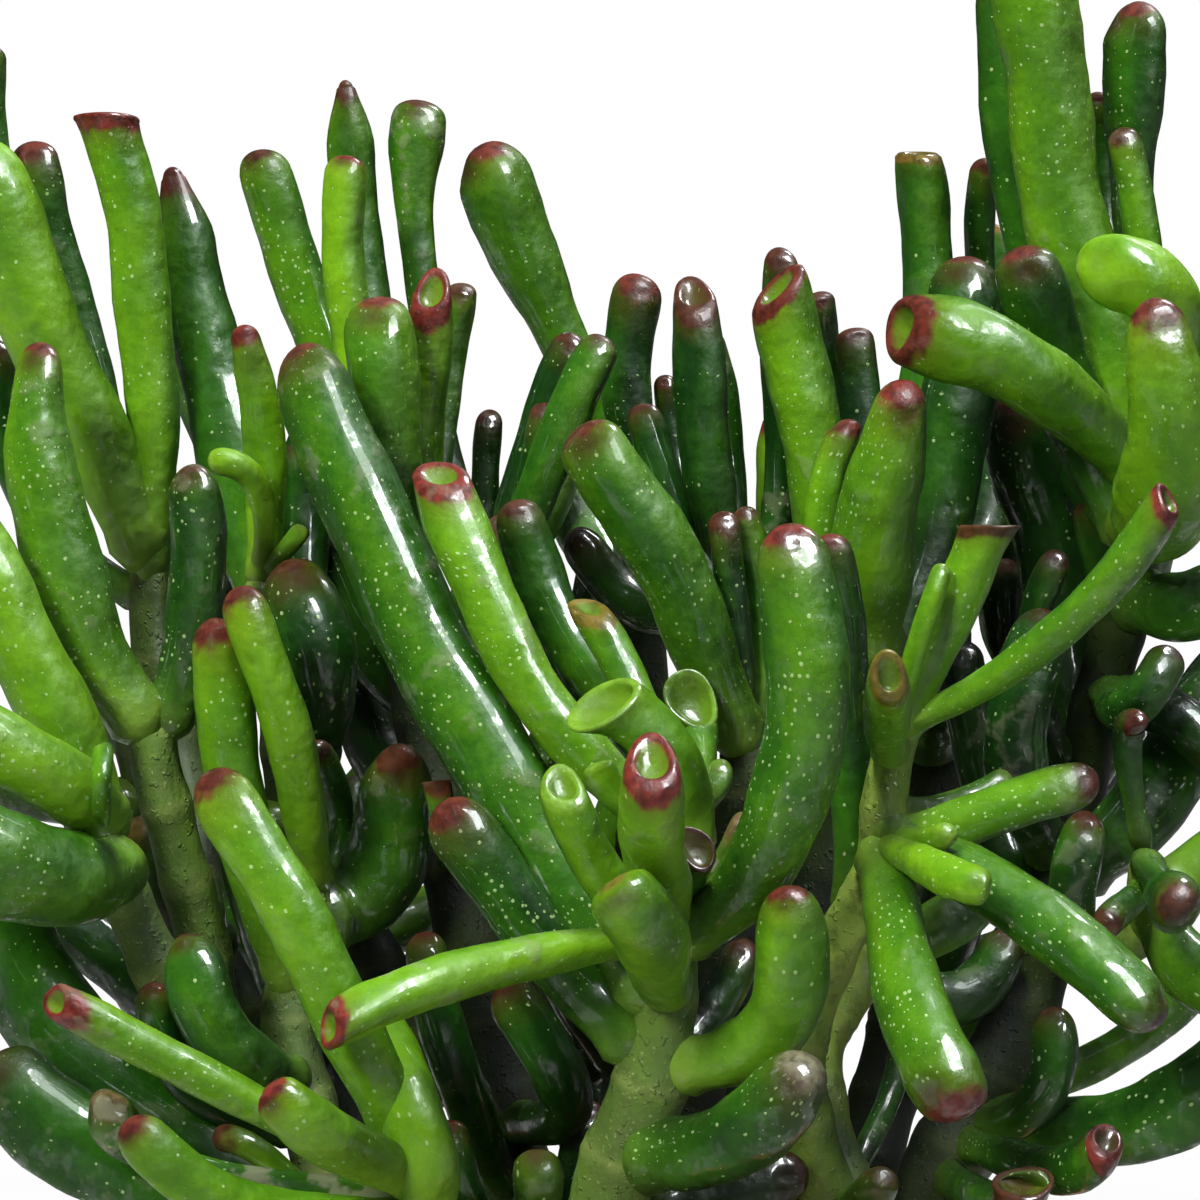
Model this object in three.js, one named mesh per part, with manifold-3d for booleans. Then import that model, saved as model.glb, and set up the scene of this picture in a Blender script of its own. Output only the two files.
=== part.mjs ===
// A trumpet jade, the finger-leaved form of the jade plant, growing in a plain terracotta pot.
//
// Ten rooted stems stand in plain holes in the potting mix. Each stem forks into leafy branches, and
// carries fleshy, nearly round leaves that end in a flared mouth, a club, a point or a blunt finger.
// A stem is one solid with its branches and leaves. Units are millimetres, +Z is up, and the origin is
// the centre of the pot's underside.

import * as THREE from "three";
import { mergeVertices } from "three/addons/utils/BufferGeometryUtils.js";
import Module from "manifold-3d";

const wasm = await Module();
wasm.setup();

// ---------------------------------------------------------------- driving dimensions

const POT = {
  height: 110,
  topRadius: 60,
  footRadius: 41,
  bandHeight: 24,
  bandStep: 3.5,
  chamfer: 1,
  wall: 5,
  floor: 7,
  sides: 28,
  drainRadius: 3.5,
  drainCircle: 22,
  drains: 4,
  drainSides: 10,
};
const SOIL = {
  top: 97,
  dome: 3,
  lump: 1.1,
  waves: 9,
  rings: [0.75, 0.5, 0.25, 0],
  clearance: 0.4,
  sides: 22,
};
// A stem's hole: its depth, the stretch below and above the soil's edge where the stem is straight,
// and the air round the stem.
const SOCKET = { depth: 24, straight: 8, above: 5, clearance: 0.7, sides: 10 };
const CUT = 1; // how far a cutting post stands out of the piece that it cuts
const LEAF_SIDES = 5;
const LEAF_THICKNESS = 0.88; // of its width
const STEM_SIDES = 7;
const SPACING = 0.7; // the least air between two leaves
const FINEST = 0.03; // a stem's faces and edges are no smaller than this
const WELD = 1e-4; // points nearer than this are one

// The front of the crown is set out on a sheet through its middle, leaning back a little, and seen
// from a station in front of it. A point has its place on the sheet, across and down in units, and a
// depth behind the sheet in mm: it lies on the line from the station through that place.
const SHEET = { unit: 0.12, middle: 600, height: 204, station: 450, lean: THREE.MathUtils.degToRad(8) };

// ---------------------------------------------------------------- setting out

const vec = (x, y, z) => new THREE.Vector3(x, y, z);
const RIGHT = vec(1, 0, 0);
const AWAY = vec(0, Math.cos(SHEET.lean), -Math.sin(SHEET.lean));
const UPWARD = vec(0, Math.sin(SHEET.lean), Math.cos(SHEET.lean));
const CENTRE = vec(0, 0, SHEET.height);
const STATION = CENTRE.clone().addScaledVector(AWAY, -SHEET.station);

const spread = (depth) => 1 + depth / SHEET.station;

function place([across, down, depth]) {
  const size = SHEET.unit * spread(depth);
  return CENTRE.clone()
    .addScaledVector(RIGHT, (across - SHEET.middle) * size)
    .addScaledVector(UPWARD, (SHEET.middle - down) * size)
    .addScaledVector(AWAY, depth);
}

// Which way a leaf's mouth or upper face looks: right, up, away from the station.
const FACING = {
  front: [0, 0, -1],
  back: [0, 0, 1],
  left: [-1, 0.2, -0.5],
  right: [1, 0.1, -0.6],
  up: [0, 1, -0.7],
  down: [0, -0.8, -1],
};

// ---------------------------------------------------------------- the plant

// A stem: the foot's x and y, then its branches. Each branch is a list of across, down, depth, radius;
// the first branch rises from the foot, and the others start on one before them.
// A leaf: form, width on the sheet, root across and down, middle and tip with their depths, facing.
// A leaf's root is taken to the nearest point of its own stem's branches.
const STEMS = {
  stem_front: {
    foot: [4, -20],
    branches: [
      [[612, 1190, -22, 4.6], [650, 1080, -26, 4.3], [666, 1000, -27, 3.7], [672, 930, -27, 3.3],
        [684, 860, -25, 2.8], [694, 800, -22, 2.2]],
    ],
    leaves: [
      ["cup", 58, [655, 945], [490, 966, -36], [332, 1026, -42], "left"],
      ["finger", 76, [664, 1010], [652, 945, -46], [612, 880, -54], "front"],
      ["finger", 84, [675, 950], [794, 790, -38], [784, 524, -42], "front"],
      ["finger", 74, [652, 1085], [769, 1030, -36], [786, 886, -40], "front"],
      ["finger", 84, [612, 1185], [722, 1142, -32], [812, 1060, -38], "front"],
      ["finger", 68, [652, 1062], [550, 950, -24], [443, 803, -26], "front"],
      ["cup", 52, [668, 960], [597, 865, -36], [563, 788, -40], "front"],
      ["cup", 70, [680, 905], [656, 850, -44], [652, 764, -56], "front"],
      ["trumpet", 72, [690, 850], [678, 765, -30], [607, 706, -34], "up"],
      ["cup", 42, [692, 815], [634, 690, -18], [590, 610, -16], "front"],
      ["trumpet", 50, [694, 800], [698, 748, -12], [692, 702, -8], "front"],
      ["finger", 30, [694, 815], [714, 790, -16], [720, 760, -14], "front"],
      ["trumpet", 36, [686, 890], [694, 872, -38], [697, 850, -46], "front"],
      ["finger", 34, [684, 860], [622, 802, -26], [596, 764, -27], "front"],
      ["finger", 30, [674, 925], [716, 880, -30], [746, 812, -32], "front"],
      ["finger", 44, [655, 1060], [712, 1012, -20], [746, 940, -18], "front"],
      ["cup", 64, [684, 870], [540, 695, -17], [441, 478, -18], "front"],
      ["finger", 100, [668, 985], [464, 716, -14], [298, 346, -10], "left"],
      ["finger", 58, [690, 830], [572, 645, -7], [516, 500, -6], "front"],
      ["finger", 66, [606, 1196], [712, 1198, -18], [806, 1168, -16], "front"],
    ],
  },
  stem_front_right: {
    foot: [27, -13],
    branches: [
      [[842, 1330, -8, 5], [846, 1220, -8, 4.2], [824, 1120, -8, 3.2], [822, 1045, -7, 2.9],
        [858, 985, -6, 2.8], [890, 940, -4, 2.5]],
      [[846, 1240, -8, 3.6], [812, 1140, -13, 3.3], [800, 1055, -16, 3], [838, 945, -19, 2.8],
        [878, 865, -21, 2.8], [886, 790, -22, 2.7], [900, 725, -22, 2.4], [912, 685, -21, 2]],
    ],
    leaves: [
      ["trumpet", 58, [898, 745], [938, 635, -27], [989, 530, -30], "back"],
      ["finger", 24, [892, 750], [917, 645, -30], [945, 566, -28], "front"],
      ["cup", 48, [905, 715], [1048, 640, -33], [1167, 503, -42], "right"],
      ["cup", 50, [893, 760], [888, 722, -32], [889, 676, -42], "front"],
      ["finger", 52, [885, 850], [985, 815, -27], [1098, 777, -28], "front"],
      ["finger", 32, [888, 800], [960, 803, -15], [1010, 776, -13], "front"],
      ["finger", 30, [885, 850], [920, 842, -32], [950, 831, -36], "front"],
      ["finger", 42, [883, 865], [938, 872, -36], [991, 889, -44], "front"],
      ["finger", 76, [886, 854], [1032, 914, -35], [1160, 1026, -42], "right"],
      ["finger", 80, [878, 870], [912, 995, -38], [960, 1116, -46], "down"],
      ["finger", 50, [848, 930], [849, 725, -22], [827, 534, -22], "front"],
      ["finger", 42, [848, 1240], [868, 1198, -16], [884, 1168, -18], "front"],
      ["finger", 26, [846, 1170], [886, 1104, 12], [900, 1042, 20], "front"],
      ["finger", 56, [870, 985], [955, 1000, 2], [1010, 930, 4], "front"],
      ["finger", 56, [885, 960], [935, 928, -6], [988, 890, -8], "front"],
    ],
  },
  stem_right: {
    foot: [41, 3],
    branches: [
      [[928, 1300, 4, 5.2], [930, 1200, 3, 4.8], [985, 1090, 4, 4.5], [1032, 985, 6, 4.2],
        [1055, 900, 8, 3.8], [1078, 790, 11, 3.5], [1110, 660, 12, 3.3], [1135, 560, 12, 3],
        [1146, 470, 12, 2.6], [1148, 425, 12, 2]],
      [[1048, 930, 7, 3.4], [1092, 944, 2, 3.2], [1130, 936, -3, 3], [1148, 895, -8, 2.6],
        [1143, 850, -9, 2]],
    ],
    leaves: [
      ["taper", 104, [1140, 510], [1168, 490, -16], [1154, 298, -26], "front"],
      ["cup", 88, [1146, 480], [1036, 380, 0], [906, 328, -8], "left"],
      ["finger", 90, [1146, 480], [1066, 215, 10], [1030, -80, 6], "front"],
      ["finger", 44, [1140, 530], [1027, 250, 20], [997, -30, 20], "front"],
      ["finger", 30, [1147, 450], [1050, 190, 24], [1061, -55, 22], "front"],
      ["finger", 32, [1135, 560], [1004, 360, 27], [986, 160, 28], "front"],
      ["club", 86, [1148, 430], [1176, 316, 0], [1076, 264, -6], "left"],
      ["club", 74, [1147, 430], [1135, 230, 20], [1136, 2, 18], "left"],
      ["finger", 32, [1146, 450], [1108, 260, 28], [1098, 92, 28], "front"],
      ["finger", 38, [1147, 440], [1146, 265, 14], [1120, 129, 12], "front"],
      ["finger", 74, [1138, 545], [1062, 375, 6], [1022, 249, 2], "front"],
      ["finger", 60, [1147, 460], [1230, 360, 4], [1224, 236, 0], "front"],
      ["finger", 34, [1146, 460], [1106, 320, 34], [1090, 195, 34], "front"],
      ["finger", 34, [1082, 780], [1032, 665, 5], [1062, 552, 4], "front"],
      ["finger", 66, [1068, 850], [1016, 750, 0], [1052, 612, 4], "front"],
      ["finger", 44, [1105, 680], [1130, 708, -2], [1172, 648, -8], "front"],
      ["finger", 74, [1128, 590], [1184, 608, 2], [1255, 568, 0], "front"],
      ["finger", 56, [1100, 700], [1165, 712, 8], [1235, 770, 4], "front"],
      ["finger", 50, [1040, 965], [1070, 905, -1], [1090, 812, -5], "front"],
      ["finger", 78, [1062, 880], [1150, 800, 8], [1236, 645, 8], "front"],
      ["finger", 30, [1090, 740], [1128, 742, -4], [1141, 731, -12], "front"],
      ["club", 62, [1145, 890], [1166, 893, -22], [1178, 903, -36], "front"],
      ["finger", 74, [1150, 950], [1216, 982, -16], [1300, 952, -22], "front"],
      ["finger", 56, [1146, 900], [1205, 860, -8], [1285, 780, -8], "front"],
      ["finger", 34, [1148, 915], [1122, 908, -20], [1104, 928, -25], "front"],
      ["finger", 86, [1040, 1150], [1168, 1113, -12], [1296, 974, -16], "front"],
      ["finger", 42, [1030, 1112], [1132, 1040, 4], [1280, 882, 4], "front"],
      ["cup", 56, [1010, 1170], [1056, 1168, -24], [1106, 1142, -32], "right"],
      ["trumpet", 56, [960, 1190], [1000, 1205, -26], [1024, 1186, -34], "front"],
      ["finger", 50, [1020, 1160], [1044, 1095, -7], [1050, 1008, -6], "front"],
      ["finger", 84, [1082, 800], [1062, 600, 22], [1008, 398, 22], "front"],
      ["finger", 54, [1040, 960], [984, 780, 16], [958, 640, 16], "front"],
      ["finger", 46, [1112, 650], [1108, 580, 20], [1088, 498, 22], "front"],
    ],
  },
  stem_front_left: {
    foot: [-25, -21],
    branches: [
      [[428, 1350, -20, 4.8], [434, 1265, -26, 4.1], [426, 1215, -30, 3.4], [412, 1178, -32, 2.4]],
      [[428, 1345, -20, 4.2], [350, 1240, -15, 4], [312, 1125, -10, 3.7], [290, 1010, -8, 3.3],
        [306, 925, -8, 2.9], [318, 880, -8, 2.2]],
    ],
    leaves: [
      ["cup", 48, [415, 1190], [240, 1096, -38], [58, 1003, -44], "left"],
      ["finger", 62, [430, 1240], [342, 1144, -48], [266, 1088, -55], "front"],
      ["finger", 68, [424, 1210], [332, 988, -37], [206, 772, -41], "front"],
      ["finger", 74, [434, 1262], [412, 1122, -33], [365, 1008, -32], "front"],
      ["finger", 58, [432, 1285], [252, 1208, -42], [127, 1120, -48], "front"],
      ["finger", 100, [428, 1340], [152, 1188, -28], [-14, 1060, -25], "front"],
      ["finger", 28, [350, 1235], [276, 1166, -24], [216, 1138, -24], "front"],
      ["finger", 50, [316, 895], [290, 748, -20], [237, 587, -24], "front"],
      ["finger", 62, [291, 1000], [245, 830, -18], [215, 619, -21], "front"],
      ["finger", 64, [302, 1080], [230, 1045, -16], [187, 935, -18], "front"],
      ["finger", 44, [312, 1125], [190, 1085, -15], [158, 982, -16], "front"],
      ["club", 62, [340, 1210], [186, 1166, -28], [107, 1100, -37], "left"],
      ["finger", 108, [350, 1240], [78, 1045, -14], [-60, 800, -14], "front"],
      ["finger", 88, [308, 920], [378, 872, -8], [398, 750, -12], "front"],
      ["finger", 30, [314, 900], [340, 822, 0], [315, 746, -2], "front"],
    ],
  },
  stem_left: {
    foot: [-38, 5],
    branches: [
      [[262, 1300, 5, 4.9], [236, 1160, 0, 4.3], [213, 1035, -6, 3.8], [200, 930, -10, 3.3],
        [172, 830, -13, 3], [153, 745, -15, 2.9], [154, 695, -15, 2.2]],
      [[222, 1085, -4, 3.6], [166, 985, -14, 3.4], [129, 905, -18, 3], [110, 855, -21, 2.6],
        [100, 820, -22, 2]],
      [[198, 920, -8, 3.2], [188, 800, 0, 3.2], [160, 690, 3, 2.8], [150, 600, 4, 2.5], [150, 552, 4, 2.2]],
    ],
    leaves: [
      ["taper", 84, [148, 735], [58, 560, -22], [42, 342, -19], "front"],
      ["finger", 62, [153, 740], [195, 622, -20], [192, 464, -20], "front"],
      ["finger", 80, [110, 850], [36, 668, -26], [-60, 490, -26], "front"],
      ["finger", 80, [106, 845], [42, 772, -32], [-100, 690, -36], "front"],
      ["finger", 106, [120, 880], [46, 878, -32], [-120, 790, -42], "front"],
      ["finger", 22, [110, 850], [102, 795, -32], [104, 745, -33], "front"],
      ["finger", 84, [144, 560], [54, 350, -4], [-26, 140, -8], "front"],
      ["trumpet", 64, [160, 590], [147, 330, 0], [108, 122, -2], "back"],
      ["finger", 50, [144, 580], [76, 330, 8], [31, 142, 8], "front"],
      ["finger", 50, [144, 560], [10, 250, 6], [-14, 42, 4], "front"],
      ["finger", 46, [144, 600], [30, 500, 12], [-8, 340, 12], "front"],
      ["finger", 64, [205, 985], [118, 966, 3], [28, 890, 5], "front"],
    ],
  },
  stem_centre_left: {
    foot: [-10, 5],
    branches: [
      [[532, 1310, 8, 5], [512, 1160, 8, 4.6], [482, 1015, 8, 4.3], [455, 880, 8, 3.8],
        [425, 740, 8, 3.4], [408, 620, 8, 3], [403, 565, 8, 2.2]],
      [[506, 1120, 7, 3.7], [404, 1010, 7, 3.6], [338, 880, 7, 3.3], [292, 745, 1, 3],
        [267, 625, 0, 2.6], [261, 572, -1, 2]],
      [[455, 880, 8, 3.2], [478, 765, 14, 3], [492, 665, 16, 2.6], [498, 605, 16, 2]],
    ],
    leaves: [
      ["finger", 74, [406, 600], [386, 440, 0], [380, 297, -2], "front"],
      ["cup", 50, [410, 625], [424, 432, 7], [432, 294, 2], "front"],
      ["finger", 34, [412, 650], [442, 425, 13], [463, 285, 13], "front"],
      ["finger", 46, [404, 590], [352, 350, 8], [349, 156, 5], "front"],
      ["point", 52, [406, 605], [368, 320, 18], [345, 80, 18], "front"],
      ["club", 58, [408, 625], [426, 330, 21], [420, 100, 21], "front"],
      ["finger", 60, [404, 590], [322, 345, 15], [256, 150, 13], "left"],
      ["finger", 46, [495, 645], [545, 470, 10], [606, 337, 8], "front"],
      ["finger", 32, [494, 655], [520, 522, 15], [548, 403, 15], "front"],
      ["finger", 30, [490, 680], [484, 535, 22], [490, 411, 22], "front"],
      ["finger", 44, [497, 620], [526, 470, 19], [576, 335, 18], "front"],
      ["finger", 34, [484, 730], [490, 610, 4], [498, 515, 3], "front"],
      ["trumpet", 32, [452, 870], [446, 832, -5], [437, 783, -13], "front"],
      ["taper", 46, [262, 595], [264, 455, -4], [242, 325, -7], "front"],
      ["point", 70, [268, 630], [216, 392, 8], [171, 167, 8], "front"],
      ["finger", 28, [261, 578], [256, 484, -6], [208, 463, -10], "front"],
      ["finger", 20, [261, 580], [286, 549, -4], [305, 527, -6], "front"],
      ["finger", 86, [302, 775], [314, 680, -3], [286, 560, -5], "front"],
      ["finger", 58, [514, 1175], [566, 1098, -8], [500, 985, -12], "front"],
      ["finger", 50, [520, 1220], [458, 1080, -10], [424, 934, -10], "front"],
      ["finger", 50, [524, 1250], [535, 1204, -18], [536, 1154, -22], "front"],
      ["finger", 54, [300, 740], [303, 580, 12], [310, 440, 13], "front"],
      ["finger", 58, [425, 740], [368, 646, 16], [326, 530, 18], "front"],
      ["finger", 62, [452, 860], [392, 775, 15], [352, 664, 17], "front"],
      ["finger", 50, [524, 1280], [572, 1200, -2], [588, 1100, -2], "front"],
      ["finger", 46, [524, 1290], [474, 1210, -12], [446, 1120, -14], "front"],
    ],
  },
  stem_centre: {
    foot: [10, 17],
    branches: [
      [[660, 1300, 20, 5], [682, 1135, 16, 4.6], [706, 1000, 12, 4.2], [736, 862, 6, 3.8],
        [748, 752, 3, 3.4], [738, 662, 8, 3], [718, 582, 14, 2.2]],
      [[703, 1020, 12, 3.5], [800, 920, 13, 3.4], [850, 800, 10, 3.2], [864, 700, 5, 2.8],
        [868, 648, 3, 2.1]],
    ],
    leaves: [
      ["finger", 76, [752, 746], [664, 562, -6], [577, 428, -9], "front"],
      ["cup", 56, [722, 600], [706, 442, 12], [694, 297, 6], "front"],
      ["finger", 50, [738, 670], [637, 448, 18], [642, 276, 18], "front"],
      ["club", 90, [730, 640], [585, 386, 26], [484, 144, 23], "left"],
      ["finger", 34, [735, 655], [731, 470, 21], [708, 330, 21], "front"],
      ["finger", 26, [726, 620], [682, 482, 19], [665, 375, 19], "front"],
      ["finger", 40, [742, 690], [684, 532, 15], [640, 405, 15], "front"],
      ["finger", 34, [740, 680], [778, 500, 18], [772, 340, 18], "front"],
      ["finger", 32, [748, 750], [736, 622, -3], [722, 512, -5], "front"],
      ["finger", 32, [748, 760], [764, 632, 0], [742, 507, -1], "front"],
      ["finger", 46, [735, 650], [645, 610, 26], [574, 530, 28], "front"],
      ["taper", 94, [866, 680], [876, 532, -6], [906, 384, -14], "front"],
      ["finger", 40, [864, 700], [818, 560, 1], [850, 419, 1], "left"],
      ["cup", 76, [860, 735], [816, 472, 12], [778, 292, 9], "left"],
      ["finger", 40, [858, 745], [794, 480, 21], [781, 250, 20], "front"],
      ["finger", 36, [862, 715], [832, 470, 22], [818, 293, 22], "front"],
      ["finger", 42, [866, 675], [863, 482, 20], [852, 328, 22], "front"],
      ["cup", 56, [868, 665], [922, 400, 21], [919, 157, 20], "back"],
      ["finger", 76, [868, 675], [946, 480, 12], [964, 256, 14], "front"],
    ],
  },
};

// Back stems, in millimetres: the foot's x and y, then branches as rows of x, y, z, radius. The first
// rises from the foot and the others start on it. Their leaves stand in crossed pairs, by a rule.
const BACK_STEMS = {
  stem_back_left: {
    foot: [-29, 26],
    branches: [
      [[-31, 30, 122, 4.6], [-37, 42, 148, 4.2], [-42, 50, 178, 3.6], [-44, 55, 205, 2.6]],
      [[-33, 34, 131, 3.6], [-50, 36, 150, 3.4], [-60, 36, 176, 2.6], [-63, 36, 192, 2]],
      [[-37, 42, 148, 3.4], [-34, 52, 160, 3.2], [-28, 60, 182, 2.4]],
    ],
  },
  stem_back: {
    foot: [3, 41],
    branches: [
      [[4, 43, 122, 4.8], [6, 49, 150, 4.3], [6, 55, 185, 3.6], [4, 58, 216, 2.6]],
      [[5, 45, 132, 3.8], [-8, 56, 148, 3.4], [-11, 64, 168, 2.4]],
      [[6, 49, 150, 3.6], [20, 56, 166, 3.4], [26, 62, 188, 2.4]],
    ],
  },
  stem_back_right: {
    foot: [31, 27],
    branches: [
      [[35, 33, 122, 4.8], [42, 45, 150, 4.3], [46, 54, 185, 3.8], [46, 58, 220, 2.8]],
      [[38, 38, 134, 3.8], [56, 44, 152, 3.4], [66, 46, 178, 2.6], [69, 46, 194, 2]],
      [[42, 45, 150, 3.4], [46, 56, 158, 3.2], [47, 64, 178, 2.4]],
    ],
  },
};
const PAIRS = {
  seed: 7,
  spacing: 19.5,
  bareShare: 0.12, // of a branch, from its start
  length: [29, 44],
  width: [7.2, 10],
  opening: [0.75, 1.15], // radians between a leaf's first half and its branch
  closing: 0.55, // how much of that is left at the tip
  topOpening: 0.5, // how much of it the last pair has
  wander: 0.6, // radians that a pair turns from crossing the one below it
  turns: [0, 0.4, -0.4, 0.8, -0.8, 1.2, -1.2],
  sizes: [1, 0.8],
  forms: { finger: 0.4, taper: 0.55, cup: 0.72, trumpet: 0.84, club: 0.94, point: 1 }, // shares, added up
};

// The crown's skyline on the sheet, as rows of across and down, and the clearings that can be seen
// through, as across, down and radius. A leaf in a pair stays below the one and off the others.
const SKYLINE = [
  [-200, 60], [60, 180], [230, 380], [330, 330], [430, 330], [470, 450], [540, 400], [620, 320],
  [760, 470], [800, 330], [870, 370], [930, 200], [1400, 60],
];
const CLEARINGS = [
  [119, 604, 14], [682, 683, 12], [864, 1070, 15], [912, 1113, 16], [1084, 1028, 22],
  [1150, 1040, 22], [1182, 826, 22], [1180, 1160, 30],
];

// ---------------------------------------------------------------- leaf forms

// Half-width along each form, as a share of the leaf's: rows of place and width, from root to tip. A
// place is a share of the leaf's length, or where it is below 0 it is counted back from the tip in
// half-widths. Past the last row a form closes in a round end. A trumpet and a cup end in a rim, with
// a dish behind the mouth.
const FORMS = {
  finger: [[0, 0.6], [0.38, 0.95], [-1.1, 0.97], [-0.35, 0.74]],
  taper: [[0, 0.6], [0.4, 1], [-1.4, 0.74], [-0.35, 0.52]],
  point: [[0, 0.6], [0.4, 1], [-2, 0.78], [-0.7, 0.42]],
  club: [[0, 0.46], [-4, 0.68], [-1.6, 1], [-0.45, 0.78]],
  trumpet: [[0, 0.56], [0.5, 0.9], [-1.5, 0.9], [1, 1.04]],
  cup: [[0, 0.56], [0.4, 0.92], [-0.9, 0.97], [1, 0.82]],
};
const DISH = { depth: 0.4, lip: 0.74, drop: 0.1 };
const OPEN_FORMS = ["trumpet", "cup"];
const MOUTH_SLANT = { front: 1.05, back: 0.08, left: 0.6, right: 0.6, up: 0.8, down: 0.6 };
const BACK_SLANT = 0.3;
const LEAN_FROM = 0.55; // a trumpet's rings lean from this share of its length on
const SLOPE_STEP = 0.01; // half the stretch over which an axis's slope is taken

function rowsOf({ form, half, root, middle, tip }) {
  const length = root.distanceTo(middle) + middle.distanceTo(tip);
  return FORMS[form].map(([at, width]) => [at < 0 ? 1 + (at * half) / length : at, width]);
}

function widthAt(rows, share) {
  const after = rows.findIndex(([t]) => t >= share);
  if (after < 0) {
    const [t, w] = rows.at(-1);
    return w * Math.sqrt(Math.max(0, 1 - ((share - t) / (1 - t)) ** 2));
  }
  if (after === 0) return rows[0][1];
  const [t0, w0] = rows[after - 1];
  const [t1, w1] = rows[after];
  return w0 + ((w1 - w0) * (share - t0)) / (t1 - t0);
}

// The parabola through root, middle and tip: the three points' weights at a share of its length.
const weights = (t) => [(1 - t) * (1 - 2 * t), 4 * t * (1 - t), t * (2 * t - 1)];

function along(leaf, t) {
  const [a, b, c] = weights(t);
  return vec(0, 0, 0)
    .addScaledVector(leaf.root, a)
    .addScaledVector(leaf.middle, b)
    .addScaledVector(leaf.tip, c);
}

// ---------------------------------------------------------------- laying out stems and leaves

// A branch's points, with a first branch's upright stretch in its socket put before them.
function rooted(foot, points) {
  const { radius } = points[0];
  const heights = [
    SOIL.top - SOCKET.depth + SOIL.clearance,
    SOIL.top - SOCKET.straight,
    SOIL.top + SOCKET.above,
  ];
  return [...heights.map((z) => ({ at: vec(...foot, z), radius })), ...points];
}

function stemsOf(table, pointOf) {
  return Object.entries(table).map(([name, { foot, branches }]) => {
    const rows = branches.map((branch) => branch.map((row) => ({ at: pointOf(row), radius: row[3] })));
    return { name, branches: [rooted(foot, rows[0]), ...rows.slice(1)] };
  });
}

function nearestOnBranches(branches, point) {
  let best = { distance: Infinity };
  for (const branch of branches) {
    for (let i = 1; i < branch.length; i++) {
      const a = branch[i - 1].at;
      const span = branch[i].at.clone().sub(a);
      const share = THREE.MathUtils.clamp(point.clone().sub(a).dot(span) / span.lengthSq(), 0, 1);
      const at = a.clone().addScaledVector(span, share);
      const distance = at.distanceTo(point);
      if (distance < best.distance) best = { distance, at };
    }
  }
  return best.at;
}

function setOutLeaves(stem) {
  return STEMS[stem.name].leaves.map(([form, width, root, middle, tip, facing]) => ({
    owner: stem.name,
    form,
    half: (width / 2) * SHEET.unit * spread(middle[2]),
    root: nearestOnBranches(stem.branches, place([...root, middle[2]])),
    middle: place(middle),
    tip: place(tip),
    face: vec(0, 0, 0)
      .addScaledVector(RIGHT, FACING[facing][0])
      .addScaledVector(UPWARD, FACING[facing][1])
      .addScaledVector(AWAY, FACING[facing][2]),
    slant: OPEN_FORMS.includes(form) ? MOUTH_SLANT[facing] : 0,
  }));
}

// ---------------------------------------------------------------- beads

// A leaf or a branch is tested for room as a row of beads: a place, a radius, and how far the bead
// follows the leaf's middle and tip. A branch's beads follow nothing.
const BEADS = { leaf: 14, first: 0.1, branchStep: 3, rootShare: 0.35 };

function leafBeads(leaf) {
  const rows = rowsOf(leaf);
  return Array.from({ length: BEADS.leaf }, (_, i) => {
    const t = BEADS.first + (1 - BEADS.first) * (i / (BEADS.leaf - 1));
    const [, middle, tip] = weights(t);
    return { at: along(leaf, t), radius: leaf.half * widthAt(rows, t), middle, tip, t };
  });
}

function branchBeads(branch) {
  return branch.slice(1).flatMap((to, i) => {
    const from = branch[i];
    const count = Math.ceil(from.at.distanceTo(to.at) / BEADS.branchStep);
    return Array.from({ length: count }, (_, k) => {
      const share = (k + 1) / count;
      const radius = THREE.MathUtils.lerp(from.radius, to.radius, share);
      return { at: from.at.clone().lerp(to.at, share), radius, middle: 0, tip: 0, t: 1 };
    });
  });
}

// Near their roots, leaves of one stem grow into each other and into the stem.
const grownTogether = (a, b, p, q) =>
  a.owner === b.owner && (p.t < BEADS.rootShare || q.t < BEADS.rootShare);

// ---------------------------------------------------------------- easing the leaves apart

// Where beads come nearer than their radii and the spacing, both leaves give way along the depth:
// their middles and tips slide on their sight lines from the station, so nothing moves on the sheet.
const EASE = { rounds: 200, step: 0.8, margin: 4, stiffness: 0.1, most: 1.5 };

const sightLine = (point) => {
  const line = point.clone().sub(STATION);
  return line.divideScalar(line.dot(AWAY));
};

function nearPairs(bodies) {
  const flat = (v) => [v.dot(RIGHT), v.dot(UPWARD)];
  const rows = bodies.map((body) => body.beads.map((bead) => flat(bead.at)));
  const pairs = [];
  for (let i = 0; i < bodies.length; i++) {
    for (let j = i + 1; j < bodies.length; j++) {
      if (!bodies[i].leaf && !bodies[j].leaf) continue;
      const touches = [];
      bodies[i].beads.forEach((p, m) => {
        bodies[j].beads.forEach((q, n) => {
          if (grownTogether(bodies[i], bodies[j], p, q)) return;
          const apart = Math.hypot(rows[i][m][0] - rows[j][n][0], rows[i][m][1] - rows[j][n][1]);
          const reach = p.radius + q.radius + SPACING;
          if (apart < reach + EASE.margin) touches.push([m, n, reach]);
        });
      });
      if (touches.length > 0) pairs.push({ i, j, touches });
    }
  }
  return pairs;
}

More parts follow.
